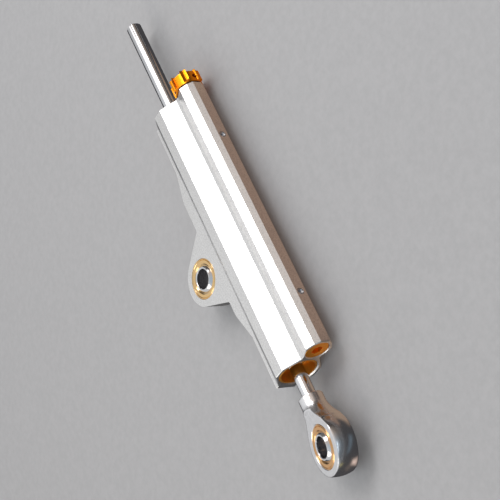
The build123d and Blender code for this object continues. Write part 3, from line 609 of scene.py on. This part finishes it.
def arc(centre: Point, radius: float, start: float, end: float, steps: int) -> Outline:
    """Points along an arc in an outline.

    Args:
        centre: The arc's centre.
        radius: Its radius.
        start: Where it starts, in degrees from the X axis.
        end: Where it ends.
        steps: How many steps it has.

    Returns:
        The points, both ends included.
    """
    points = []
    for step in range(steps + 1):
        angle = math.radians(start + (end - start) * step / steps)
        points.append((centre[0] + radius * math.cos(angle), centre[1] + radius * math.sin(angle)))
    return points


# Geometry Nodes
class Turn(Enum):
    """How a shape made about local Z is turned into the part's frame."""

    NONE = ORIGIN
    ALONG_X = (math.radians(90), 0.0, math.radians(90))
    ALONG_Y = (math.radians(-90), 0.0, 0.0)
    EYE = (EYE_ROLL, 0.0, 0.0)


class GrowingTree(Group):
    """A geometry tree that makes one piece, in millimetres, from named sizes."""

    def __init__(self, name: str, sizes: dict[str, float]) -> None:
        """Start the tree.

        Args:
            name: The tree's name.
            sizes: The value of each input, by name: lengths in millimetres, and plain numbers.
        """
        numbers = dict.fromkeys(sizes, Kind.NUMBER)
        inputs = {"Geometry": Kind.GEOMETRY, "Material": Kind.MATERIAL, **numbers}
        super().__init__(name, "GeometryNodeTree", inputs, {"Geometry": Kind.GEOMETRY})
        self.sizes = sizes
        self.size = SimpleNamespace(**{label: Wire(self.given[label]) for label in sizes})

    def moved(
        self, shape: Socket, place: Socket | Place, turn: Place, scale: float = 1.0
    ) -> Socket:
        """A shape scaled, turned by its three angles and then moved."""
        inputs = {"Geometry": shape, "Translation": place, "Rotation": turn, "Scale": (scale,) * 3}
        return self.add("GeometryNodeTransform", inputs).outputs["Geometry"]

    def bar(self, radius: Wire, low: Number, high: Number, sides: int) -> Socket:
        """A bar along Z with one radius."""
        return self.tapered_bar((radius, radius), low, high, sides)

    def tapered_bar(
        self, radii: tuple[Wire, Wire], low: Number, high: Number, sides: int
    ) -> Socket:
        """A bar along Z with a radius for each end.

        Args:
            radii: The radius at the low end and at the high end.
            low: Where it starts on Z.
            high: Where it ends.
            sides: How many sides it has.

        Returns:
            Its geometry.
        """
        start = self.constant(low)
        inputs = {"Vertices": sides, "Depth": self.constant(high) - start}
        inputs |= {"Radius Bottom": radii[0], "Radius Top": radii[1]}
        cone = self.add("GeometryNodeMeshCone", inputs).outputs["Mesh"]
        return self.moved(cone, self.joined(0.0, 0.0, start), ORIGIN)

    def without(self, shape: Socket, *cutters: Socket) -> Socket:
        """A shape with others cut out of it, one after the other."""
        for cutter in cutters:
            node = self.add("GeometryNodeMeshBoolean", operation="DIFFERENCE", solver="EXACT")
            feed(node.inputs["Mesh 1"], shape)
            feed(node.inputs["Mesh 2"], cutter)
            shape = node.outputs["Mesh"]
        return shape

    def together(self, *shapes: Socket) -> Socket:
        """Several shapes fused into one."""
        node = self.add("GeometryNodeMeshBoolean", operation="UNION", solver="EXACT")
        for shape in shapes:
            feed(node.inputs["Mesh 2"], shape)
        return node.outputs["Mesh"]

    def grow(self, name: str, shape: Socket, turn: Turn, place: Place, finish: Finish) -> Piece:
        """End the tree, and evaluate it into a plain mesh piece.

        Args:
            name: The piece's name.
            shape: The shape in millimetres.
            turn: How it is turned.
            place: Where its origin goes, in metres.
            finish: Its finish.

        Returns:
            The piece, without a modifier.
        """
        carried = self.moved(shape, place, turn.value, MM)
        real = self.add("GeometryNodeRealizeInstances", {"Geometry": carried}).outputs["Geometry"]
        dressing = {"Geometry": real, "Material": self.given["Material"]}
        dressed = self.add("GeometryNodeSetMaterial", dressing).outputs["Geometry"]
        feed(self.result["Geometry"], dressed)
        carrier = linked(name + "_growing", bpy.data.meshes.new(name + "_seed"))
        modifier = carrier.modifiers.new("grown", "NODES")
        modifier.node_group = self.tree
        values = {**self.sizes, "Material": finish.material()}
        for item in self.tree.interface.items_tree:
            if item.in_out == "INPUT" and item.name in values:
                modifier[item.identifier] = values[item.name]
        evaluated = carrier.evaluated_get(bpy.context.evaluated_depsgraph_get())
        mesh = bpy.data.meshes.new_from_object(evaluated)
        mesh.name = name
        bpy.data.objects.remove(carrier)
        return new_piece(name, smooth(mesh), finish)


class Grown:
    """A piece that a geometry tree grows from the fields of its dataclass."""

    plain_numbers: ClassVar[tuple[str, ...]] = ()

    def start(self, name: str) -> GrowingTree:
        """Start the tree with an input for each decimal field: a length, or a plain number."""
        numbers = {label: value for label, value in vars(self).items() if isinstance(value, float)}
        units = {label: 1.0 if label in self.plain_numbers else MM for label in numbers}
        return GrowingTree(name, {label: value / units[label] for label, value in numbers.items()})


# Rod end
@dataclass
class ForgedEye(Grown):
    """The forged rod end: a flared shank that melts into a flat-sided, crowned eye."""

    rim_radius: float = 14.4 * MM
    crown_radius: float = 17.5 * MM
    thickness: float = 10.5 * MM
    face_rounding: float = 0.55 * MM
    shank_radius: float = 6.0 * MM
    shank_length: float = 25.0 * MM
    shank_rounding: float = 0.4 * MM
    flare_start: float = 4.5 * MM
    flare_limit: float = 10.9 * MM
    flare_rate: float = 0.132
    flare_power: float = 1.53
    flat_start: float = 6.4 * MM
    flat_runout: float = 1.4 * MM
    runout_height: float = 1.5 * MM
    blend: float = 3.0 * MM
    bore_radius: float = 10.3 * MM
    bore_chamfer: float = 0.3 * MM
    stud_radius: float = 3.02 * MM
    stud_depth: float = 10.5 * MM
    overrun: float = 0.6 * MM
    plain_numbers: ClassVar[tuple[str, ...]] = ("flare_rate", "flare_power")
    voxel: ClassVar[float] = 0.28 * MM
    margin: ClassVar[float] = 0.8 * MM

    def density(self, tree: GrowingTree) -> Wire:
        """The rule that the forging follows: a number that is above 0 inside it.

        Args:
            tree: The tree to state it in, with the eye's middle at 0 and the shank along -X.

        Returns:
            The density.
        """
        size = tree.size
        x, y, z = tree.split(tree.add("GeometryNodeInputPosition").outputs["Position"])
        out = (x * x + y * y).root() + (size.crown_radius - size.rim_radius)
        rim = (out * out + z * z).root() - size.crown_radius
        rear = -size.shank_length
        past = (x - rear - size.flare_start).at_least(0.0)
        flare = size.shank_radius + size.flare_rate * past**size.flare_power
        shank = (y * y + z * z).root() - flare.at_most(size.flare_limit)
        plan = rim.soft_min(shank.at_least(x), size.blend)
        share = ((rear + size.flat_start + size.flat_runout - x) / size.flat_runout).clamped()
        flats = z.absolute() - size.thickness / 2.0 - share * size.runout_height
        return -plan.soft_max(flats, size.face_rounding).soft_max(rear - x, size.shank_rounding)

    def meshed(self, tree: GrowingTree) -> Socket:
        """The unbored forging: a mesh where its density passes zero.

        Args:
            tree: The tree to make it in.

        Returns:
            The mesh's geometry.
        """
        side = self.rim_radius + self.margin
        low = (-self.shank_length - self.margin, -side, -self.shank_radius - self.margin)
        high = (side, side, self.shank_radius + self.margin)
        counts = [round((end - start) / self.voxel) for start, end in zip(low, high)]
        inputs = {"Density": self.density(tree), "Background": -1.0}
        inputs |= {"Min": [value / MM for value in low], "Max": [value / MM for value in high]}
        inputs |= {f"Resolution {letter}": count for letter, count in zip("XYZ", counts)}
        volume = tree.add("GeometryNodeVolumeCube", inputs).outputs["Volume"]
        skin = {"Volume": volume, "Threshold": 0.0}
        return tree.add("GeometryNodeVolumeToMesh", skin).outputs["Mesh"]

    def build(self) -> None:
        """The forging, bored for its bearing and its stud."""
        tree = self.start("forged_eye")
        size = tree.size
        half = size.thickness / 2.0
        deep, reach = half - size.bore_chamfer, half + size.overrun
        wide = size.bore_radius + size.bore_chamfer + size.overrun
        eye = tree.bar(size.bore_radius, -reach, reach, EYE_SIDES)
        upper = tree.tapered_bar((size.bore_radius, wide), deep, reach, EYE_SIDES)
        lower = tree.tapered_bar((wide, size.bore_radius), -reach, -deep, EYE_SIDES)
        rear = -size.shank_length
        stud = tree.bar(size.stud_radius, rear - size.overrun, rear + size.stud_depth, EYE_SIDES)
        along = tree.moved(stud, ORIGIN, Turn.ALONG_X.value)
        shape = tree.without(self.meshed(tree), eye, upper, lower, along)
        piece = tree.grow("forged_eye", shape, Turn.EYE, (EYE_X, ROD_Y, 0.0), FORGED_STEEL)
        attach(piece, "rod_assembly")
        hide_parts("rod_end")


# Bearings
@dataclass
class EyeBearing:
    """A spherical plain bearing: bronze race, staked in its eye, and a polished ball."""

    name: str
    axis: Axis
    race_finish: Finish
    ball_finish: Finish
    race_node: str
    ball_node: str
    race_body: str
    ball_body: str
    ball_radius: float = 8.4 * MM
    ball_width: float = 12.0 * MM
    bore_radius: float = 5.0 * MM
    bore_rounding: float = 0.4 * MM
    race_radius: float = 10.28 * MM
    race_width: float = 10.5 * MM
    race_gap: float = 0.05 * MM
    mouth_radius: float = 7.8 * MM
    edge_chamfer: float = 0.25 * MM
    groove_radius: float = 9.5 * MM
    groove_half_width: float = 0.25 * MM
    groove_depth: float = 0.3 * MM
    steps: int = 144
    arc_steps: int = 28
    corner_steps: int = 4

    def ball(self) -> None:
        """The ball, flat-faced and bored, with rounded bore edges."""
        half = self.ball_width / 2
        reach = math.degrees(math.acos(half / self.ball_radius))
        corner = self.bore_rounding
        inner = self.bore_radius + corner
        outline = arc((0.0, 0.0), self.ball_radius, reach, 180 - reach, self.arc_steps)
        outline += arc((-half + corner, inner), corner, 180, 270, self.corner_steps)
        outline += arc((half - corner, inner), corner, 270, 360, self.corner_steps)
        name = self.name + "_ball"
        piece = new_piece(name, turned_mesh(name, outline, self.steps, self.axis), self.ball_finish)
        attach(piece, self.ball_body)
        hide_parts(self.ball_node)

    def race(self) -> None:
        """The race: a spherical seat, two conical mouths and a staking groove in each face."""
        half = self.race_width / 2
        seat = self.ball_radius + self.race_gap
        drop = self.mouth_radius - half
        edge = (math.sqrt(2 * seat**2 - drop**2) - drop) / 2
        reach = math.degrees(math.acos(edge / seat))
        face = [
            (half, self.mouth_radius),
            (half, self.groove_radius - self.groove_half_width),
            (half - self.groove_depth, self.groove_radius),
            (half, self.groove_radius + self.groove_half_width),
            (half, self.race_radius - self.edge_chamfer),
            (half - self.edge_chamfer, self.race_radius),
        ]
        outline = arc((0.0, 0.0), seat, 180 - reach, reach, self.arc_steps)
        outline += face + [(-x, radius) for x, radius in reversed(face)]
        name = self.name + "_race"
        piece = new_piece(name, turned_mesh(name, outline, self.steps, self.axis), self.race_finish)
        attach(piece, self.race_body)
        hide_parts(self.race_node)

    def build(self) -> None:
        """Ball and race."""
        self.ball()
        self.race()


# Barrel and its fittings
@dataclass
class Barrel:
    """The blasted silver bar with its lug."""

    edge_rounding: float = 0.16 * MM

    def build(self) -> None:
        """The bar with its machined edges broken."""
        piece = softened_copy("barrel", "barrel_shell", BLASTED_SILVER, self.edge_rounding)
        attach(piece, "barrel_assembly")
        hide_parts("barrel")


@dataclass
class GoldFittings:
    """The gold cups in the main bore's ends and the gold plug in front of the side tube."""

    edge_rounding: float = 0.12 * MM
    looks: ClassVar[dict[str, tuple[str, Finish]]] = {
        "front_seal_head": ("front_cup", HEAD_GOLD),
        "rear_seal_head": ("rear_cup", HEAD_GOLD),
        "side_plug": ("socket_plug", PLUG_GOLD),
    }

    def build(self) -> None:
        """The three turned fittings."""
        for node, (name, finish) in self.looks.items():
            piece = softened_copy(node, name, finish, self.edge_rounding)
            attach(piece, "barrel_assembly")
            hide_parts(node)


@dataclass
class PortScrews(Grown):
    """The two socket screws in the outer edge of the side tube."""

    radius: float = 1.78 * MM
    length: float = 1.7 * MM
    chamfer: float = 0.2 * MM
    mouth: float = 0.5 * MM
    socket_flats: float = 1.7 * MM
    socket_depth: float = 1.1 * MM
    face_y: float = 52.25 * MM
    rear_x: float = -49.4 * MM
    spacing: float = 96.3 * MM
    count: int = 2

    def build(self) -> None:
        """Both screws as one piece: one screw, set on a line of points."""
        tree = self.start("port_screws")
        size = tree.size
        shank = tree.bar(size.radius, -size.length, -size.chamfer, ROUND_SIDES)
        radii = (size.radius, size.radius - size.chamfer)
        tip = tree.tapered_bar(radii, -size.chamfer, 0.0, ROUND_SIDES)
        corner = size.socket_flats / math.sqrt(3)
        socket = tree.bar(corner, -size.socket_depth, size.chamfer, HEXAGON)
        narrow, wide = corner - size.mouth, corner + size.mouth * 2.0
        mouth = tree.tapered_bar((narrow, wide), -size.mouth * 2.0, size.mouth, ROUND_SIDES)
        screw = tree.without(tree.together(shank, tip), socket, mouth)
        start = {"Start Location": tree.joined(size.rear_x, size.face_y, 0.0)}
        step = {"Offset": tree.joined(size.spacing, 0.0, 0.0)}
        line = tree.add("GeometryNodeMeshLine", {"Count": self.count, **start, **step})
        rows = {"Points": line.outputs["Mesh"], "Instance": screw, "Rotation": Turn.ALONG_Y.value}
        both = tree.add("GeometryNodeInstanceOnPoints", rows).outputs["Instances"]
        piece = tree.grow("port_screws", both, Turn.NONE, ORIGIN, SCREW_STEEL)
        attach(piece, "barrel_assembly")
        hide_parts("bleed_screws")


@dataclass
class ScallopedKnob(Grown):
    """The gold knob: a grip whose rim follows a rule of equal scallops, on a thin flange."""

    radius: float = 8.9 * MM
    length: float = 7.9 * MM
    grip_length: float = 7.0 * MM
    flange_radius: float = 7.5 * MM
    lobes: float = 6.0
    first_lobe: float = 37.0
    scallop_radius: float = 2.9 * MM
    scallop_centre: float = 8.9 * MM
    lobe_rounding: float = 0.35 * MM
    end_rounding: float = 0.5 * MM
    spindle_radius: float = 1.52 * MM
    recess_radius: float = 4.4 * MM
    recess_depth: float = 1.2 * MM
    track_radius: float = 4.0 * MM
    track_half_width: float = 1.0 * MM
    track_depth: float = 0.7 * MM
    grub_radius: float = 1.25 * MM
    grub_from_rear: float = 4.6 * MM
    overrun: float = 1.0 * MM
    sides: int = 480
    rings: int = 34
    plain_numbers: ClassVar[tuple[str, ...]] = ("lobes", "first_lobe")
    grub_turn: ClassVar[Place] = (0.0, math.radians(90), math.radians(-2.0))
    rear_x: ClassVar[float] = -93.5 * MM
    rim_from: ClassVar[float] = 0.25

    def grip(self, tree: GrowingTree) -> Socket:
        """A fine drum with its rim pulled in to the scallops and its ends rounded over.

        Args:
            tree: The tree to make it in.

        Returns:
            The grip's geometry, on local Z from 0 up.
        """
        size = tree.size
        inputs = {"Vertices": self.sides, "Side Segments": self.rings, "Fill Segments": 1}
        inputs |= {"Radius": 1.0, "Depth": size.grip_length}
        drum = tree.add("GeometryNodeMeshCylinder", inputs)
        x, y, z = tree.split(tree.add("GeometryNodeInputPosition").outputs["Position"])
        height = z + size.grip_length / 2.0
        step = size.lobes**-1.0 * math.tau
        angle = y.apply("ARCTAN2", x) - size.first_lobe.apply("RADIANS")
        off = angle.apply("WRAP", step, 0.0) - step / 2.0
        across = size.scallop_centre * off.apply("SINE")
        depth = (size.scallop_radius * size.scallop_radius - across * across).at_least(0.0).root()
        valley = size.scallop_centre * off.apply("COSINE") - depth
        rim = valley.soft_min(size.radius, size.lobe_rounding)
        end = size.end_rounding
        near = (-height.at_most(size.grip_length - height) + end).at_least(0.0)
        reach = rim - (end - (end * end - near * near).at_least(0.0).root())
        on_rim = (x * x + y * y).apply("GREATER_THAN", self.rim_from)
        moves = {"Selection": on_rim, "Position": tree.joined(x * reach, y * reach, height)}
        moved = tree.add("GeometryNodeSetPosition", {"Geometry": drum.outputs["Mesh"], **moves})
        return moved.outputs["Geometry"]

    def build(self) -> None:
        """The knob with its flange, its bores, its click track and its grub screw's hole."""
        tree = self.start("scalloped_knob")
        size = tree.size
        flange = tree.bar(size.flange_radius, size.recess_depth, size.length, self.sides)
        rear, front = -size.overrun, size.length + size.overrun
        spindle = tree.bar(size.spindle_radius, rear, front, ROUND_SIDES)
        recess = tree.bar(size.recess_radius, rear, size.recess_depth, ROUND_SIDES)
        low = size.length - size.track_depth
        middle, half = size.track_radius, size.track_half_width
        core = tree.bar(middle - half, low - size.overrun, front + size.overrun, ROUND_SIDES)
        track = tree.bar(middle + half, low, front, ROUND_SIDES)
        grub = tree.bar(size.grub_radius, 0.0, size.radius + size.overrun, ROUND_SIDES)
        aimed = tree.moved(grub, tree.joined(0.0, 0.0, size.grub_from_rear), self.grub_turn)
        body = tree.together(self.grip(tree), flange)
        shape = tree.without(body, spindle, recess, tree.without(track, core), aimed)
        place = (self.rear_x, SIDE_Y, 0.0)
        piece = tree.grow("scalloped_knob", shape, Turn.ALONG_X, place, KNOB_GOLD)
        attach(piece, "knob_assembly")
        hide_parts("adjuster_knob")


@dataclass
class SeparatorSpring:
    """The coil spring behind the side plug."""

    coil_radius: float = 3.1 * MM
    wire_radius: float = 0.4 * MM
    turns: float = 4.0
    steps_per_turn: int = 36
    wire_sides: int = 12
    travel: float = 3.0 * MM
    clearance: float = 0.05 * MM

    def build(self) -> None:
        """The spring: a wire that follows a helix."""
        low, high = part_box("separator_spring")
        length = high[0] - low[0]
        radii = {"coil_radius": self.coil_radius / MM, "wire_radius": self.wire_radius / MM}
        tree = GrowingTree("coil_spring", {**radii, "length": length / MM, "turns": self.turns})
        size = tree.size
        path = {"Resolution": self.steps_per_turn, "Rotations": size.turns}
        path |= {"Start Radius": size.coil_radius, "End Radius": size.coil_radius}
        path |= {"Height": size.length - size.wire_radius * 2.0}
        helix = tree.add("GeometryNodeCurveSpiral", path).outputs["Curve"]
        section = {"Resolution": self.wire_sides, "Radius": size.wire_radius}
        circle = tree.add("GeometryNodeCurvePrimitiveCircle", section).outputs["Curve"]
        sweep = {"Curve": helix, "Profile Curve": circle, "Fill Caps": True}
        wire = tree.add("GeometryNodeCurveToMesh", sweep).outputs["Mesh"]
        place = (low[0] + self.wire_radius, SIDE_Y, 0.0)
        piece = tree.grow("separator_coil", wire, Turn.ALONG_X, place, SPRING_STEEL)
        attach(piece, "barrel_assembly")
        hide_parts("separator_spring")
        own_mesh(piece)


# Carried-over CAD nodes
KEPT_NODES = {
    CHROME: ("piston_rod",),
    PLAIN_ALLOY: ("adjuster_housing", "piston", "separator_piston"),
    SCREW_STEEL: ("knob_grub_screw", "adjuster_spindle", "adjuster_needle", "detent_ball"),
    SPRING_STEEL: ("piston_clips", "detent_spring"),
    SEAL_RUBBER: (
        "head_o_rings", "front_rod_seal", "rear_rod_seal",
        "side_plug_o_ring", "separator_o_ring", "housing_o_rings",
    ),
    WIPER_PLASTIC: ("front_wiper", "rear_wiper"),
    BUSH_BRONZE: ("front_guide_bush", "rear_guide_bush", "valve_seat"),
    BAND_PLASTIC: ("piston_band", "piston_rings"),
}


def dress_kept_nodes() -> None:
    """Give every CAD node that stays its finish."""
    for finish, nodes in KEPT_NODES.items():
        for node in nodes:
            for material_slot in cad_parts[node].material_slots:
                material_slot.material = finish.material()
            log.info("dressed %s in %s", node, finish.name)


# Studio
@dataclass(frozen=True)
class Softbox:
    """One soft light, aimed at the middle of the part."""

    name: str
    direction: Place
    width: float
    height: float
    radiance: float
    colour: RGB = WHITE
    distance: float = 1.2
    target: Place = (0.0, 0.03, 0.0)

    def build(self) -> None:
        """Hang the light."""
        lamp = bpy.data.lights.new(self.name, "AREA")
        lamp.shape = "RECTANGLE"
        lamp.size, lamp.size_y = self.width, self.height
        lamp.energy = self.radiance * math.pi * self.width * self.height
        lamp.color = self.colour
        light = linked(self.name, lamp)
        back = Vector(self.direction).normalized()
        light.location = Vector(self.target) + back * self.distance
        light.rotation_mode = "QUATERNION"
        light.rotation_quaternion = back.to_track_quat("Z", "Y")
        light.visible_camera = False


@dataclass(frozen=True)
class Patch:
    """A soft-edged area of a card lying on the floor, whose tone is a painted reflection: reflected
    shade where it is dark, a reflected highlight where it is bright.
    """

    middle: Point
    half_size: Point
    colour: RGB
    softness: float = 8.0 * MM

    def share(self, x: Wire, y: Wire) -> Wire:
        """How much of the patch shows at a place on the card.

        Args:
            x: The place's X.
            y: The place's Y.

        Returns:
            1 inside the patch and 0 outside it, with a soft change at its edge.
        """
        places = zip((x, y), self.middle, self.half_size)
        along, across = (-(place - middle).absolute() + half for place, middle, half in places)
        return (along.at_most(across) / self.softness + MIDDLE).clamped()


@dataclass(frozen=True)
class Card:
    """A dark, glowing card lying or standing on the floor, which only polished surfaces see: a
    painted reflection that lays shade, and at its bright patches highlights, into them.
    """

    name: str
    x_range: tuple[float, float]
    y_range: tuple[float, float]
    colour: RGB
    height: float = 0.0
    patches: tuple[Patch, ...] = ()
    lift: float = 0.2 * MM
    mottles_per_metre: float = 12.0
    darkest_share: float = 0.7

    def build(self) -> None:
        """Lay the card, or stand it up where it has a height."""
        low = FLOOR_Z + self.lift
        high = low + self.height
        left, right = self.x_range
        near, far = self.y_range
        corners = ((left, near, low), (right, near, low), (right, far, high), (left, far, high))
        shape = bmesh.new()
        shape.faces.new([shape.verts.new(corner) for corner in corners])
        mesh = mesh_of(shape, self.name)
        mesh.materials.append(self.material())
        piece = linked(self.name, mesh)
        piece.visible_camera = False
        piece.visible_diffuse = False
        piece.visible_shadow = False

    def material(self) -> bpy.types.Material:
        """Card that glows with its own tones, whatever light falls on it: painted reflections of
        shade and highlight.

        Returns:
            The material.
        """
        made = bpy.data.materials.new(self.name)
        made.use_nodes = True
        board = Board(made.node_tree)
        coordinates = board.add("ShaderNodeTexCoord").outputs["Object"]
        mottle = board.noise(coordinates, self.mottles_per_metre, FINE_DETAIL)
        darkest = tuple(part * self.darkest_share for part in self.colour)
        shown = board.mixed(mottle, darkest, self.colour)
        x, y, _ = board.split(coordinates)
        for patch in self.patches:
            shown = board.mixed(patch.share(x, y), shown, patch.colour)
        slots = made.node_tree.nodes["Principled BSDF"].inputs
        feed(slots["Base Color"], (*BLACK, 1.0))
        feed(slots["Specular IOR Level"], 0.0)
        # The card glows: its tones are painted reflections, not lit surfaces
        feed(slots["Emission Color"], shown)
        feed(slots["Emission Strength"], 1.0)
        return made


# Each patch: its middle, its half size and its colour; each is a painted reflection, the dark ones
# reflected shade and the brightest a reflected highlight
FLOOR_REFLECTION_PATCHES = (
    Patch((-0.015, 0.075), (0.085, 0.045), (0.30, 0.20, 0.15)),
    Patch((-0.118, 0.086), (0.028, 0.034), (0.36, 0.25, 0.18)),
    Patch((-0.14, 0.36), (0.21, 0.24), (0.10, 0.09, 0.09)),
    Patch((0.088, 0.042), (0.016, 0.012), (0.36, 0.26, 0.19)),
    Patch((0.150, 0.068), (0.030, 0.006), (0.16, 0.21, 0.25)),
    Patch((0.144, 0.021), (0.005, 0.004), (0.16, 0.13, 0.11)),
    Patch((0.137, 0.031), (0.004, 0.003), (1.0, 0.75, 0.62), softness=6.0 * MM),
    Patch((0.250, 0.010), (0.050, 0.014), (0.42, 0.37, 0.16)),
)
# Glowing cards seen only in reflections: painted reflected shade, with reflected highlights at
# their bright patches
REFLECTION_CARDS = (
    Card("rear_shade_card", (-0.7, -0.08), (-0.25, -0.25), (0.055, 0.06, 0.07), height=0.10),
    Card("floor_reflection_card", (-0.35, 0.5), (-0.25, 0.6), (0.075, 0.072, 0.074), patches=FLOOR_REFLECTION_PATCHES),
)
SOFTBOXES = (
    Softbox("key_softbox", (-0.489, 0.40, 0.775), width=0.4, height=0.7, radiance=5.4),
    Softbox("top_panel", (-0.49, 0.02, 0.87), width=0.6, height=0.7, radiance=1.1),
    Softbox("front_panel", (0.72, -0.38, 0.58), width=0.6, height=0.5, radiance=2.0, colour=WARM),
    Softbox("cool_strip", (0.62, 0.70, 0.36), width=0.7, height=0.12, radiance=1.8, colour=COOL),
)


@dataclass
class Studio:
    """Floor, lights, cards, surroundings and camera."""

    floor_half_size: float = 2.5
    camera_place: Place = (0.3292, 0.4526, 0.3905)
    camera_right: Place = (0.3794, 0.4586, -0.8034)
    camera_up: Place = (-0.7854, 0.6183, -0.0180)
    lens: float = 98.64
    sensor: float = 36.0
    clip_start: float = 0.01
    world_low: float = 0.12
    world_high: float = 0.62
    lug_side_gain: float = 0.5
    dark_to: float = -0.3
    dark_lift: float = 0.45
    rise: float = 0.3
    behind_from: float = 0.55
    behind_fade: float = 0.2
    behind_loss: float = 0.75
    tint_change: float = 1.5
    warm_tint: RGB = (1.0, 0.84, 0.73)
    cool_tint: RGB = COOL

    def floor(self) -> None:
        """A pale floor just under the barrel."""
        shape = bmesh.new()
        bmesh.ops.create_grid(shape, x_segments=1, y_segments=1, size=self.floor_half_size)
        mesh = mesh_of(shape, "floor")
        mesh.transform(Matrix.Translation((0.0, 0.0, FLOOR_Z)))
        new_piece("floor", mesh, FLOOR_FINISH)

    def surroundings(self) -> None:
        """Grey surroundings: dark low down on the side tube's side, warm behind, cool in front."""
        world = bpy.data.worlds.new("studio")
        world.use_nodes = True
        bpy.context.scene.world = world
        board = Board(world.node_tree)
        along, sideways, height = board.split(board.add("ShaderNodeTexCoord").outputs["Generated"])
        side, front = ((way * self.tint_change + MIDDLE).clamped() for way in (sideways, along))
        share = ((height - self.dark_to - side * self.dark_lift) / self.rise).clamped()
        level = share * (self.world_high - self.world_low) + self.world_low
        level = level * ((-side + 1.0) * height.clamped() * self.lug_side_gain + 1.0)
        behind = ((-along - self.behind_from) / self.behind_fade).clamped()
        level = level * (-behind * self.behind_loss + 1.0)
        tint = board.mixed(side, WHITE, board.mixed(front, self.warm_tint, self.cool_tint))
        background = world.node_tree.nodes["Background"].inputs
        feed(background["Color"], tint)
        feed(background["Strength"], level)

    def camera(self) -> None:
        """The camera at the photograph's viewing angle."""
        data = bpy.data.cameras.new("camera")
        data.lens = self.lens
        data.sensor_width = self.sensor
        data.clip_start = self.clip_start
        camera = linked("camera", data)
        right, up = Vector(self.camera_right), Vector(self.camera_up)
        rows = Matrix((right, up, right.cross(up))).transposed().to_4x4()
        camera.matrix_world = Matrix.Translation(self.camera_place) @ rows
        bpy.context.scene.camera = camera

    def build(self) -> None:
        """Set the studio up."""
        self.floor()
        self.surroundings()
        self.camera()
        for fitting in (*SOFTBOXES, *REFLECTION_CARDS):
            fitting.build()
        bpy.context.scene.view_settings.view_transform = "Standard"


LUG_BEARING = EyeBearing(
    name="lug", axis=Axis.LUG, race_finish=LUG_BRONZE, ball_finish=LUG_BALL_STEEL,
    race_node="mount_race", ball_node="mount_ball", race_body="barrel_assembly",
    ball_body="mount_ball_turn_body",
)
ROD_END_BEARING = EyeBearing(
    name="eye", axis=Axis.EYE, race_finish=EYE_BRONZE, ball_finish=EYE_BALL_STEEL,
    race_node="rod_end_race", ball_node="rod_end_ball", race_body="rod_assembly",
    ball_body="rod_end_ball_turn_body",
)


def main() -> None:
    """Build every piece, dress the solids that stay and set the studio up."""
    fittings = (GoldFittings(), PortScrews(), ScallopedKnob(), SeparatorSpring())
    for assembly in (Barrel(), *fittings, ForgedEye(), LUG_BEARING, ROD_END_BEARING):
        assembly.build()
    dress_kept_nodes()
    Studio().build()


if __name__ == "__main__":
    main()
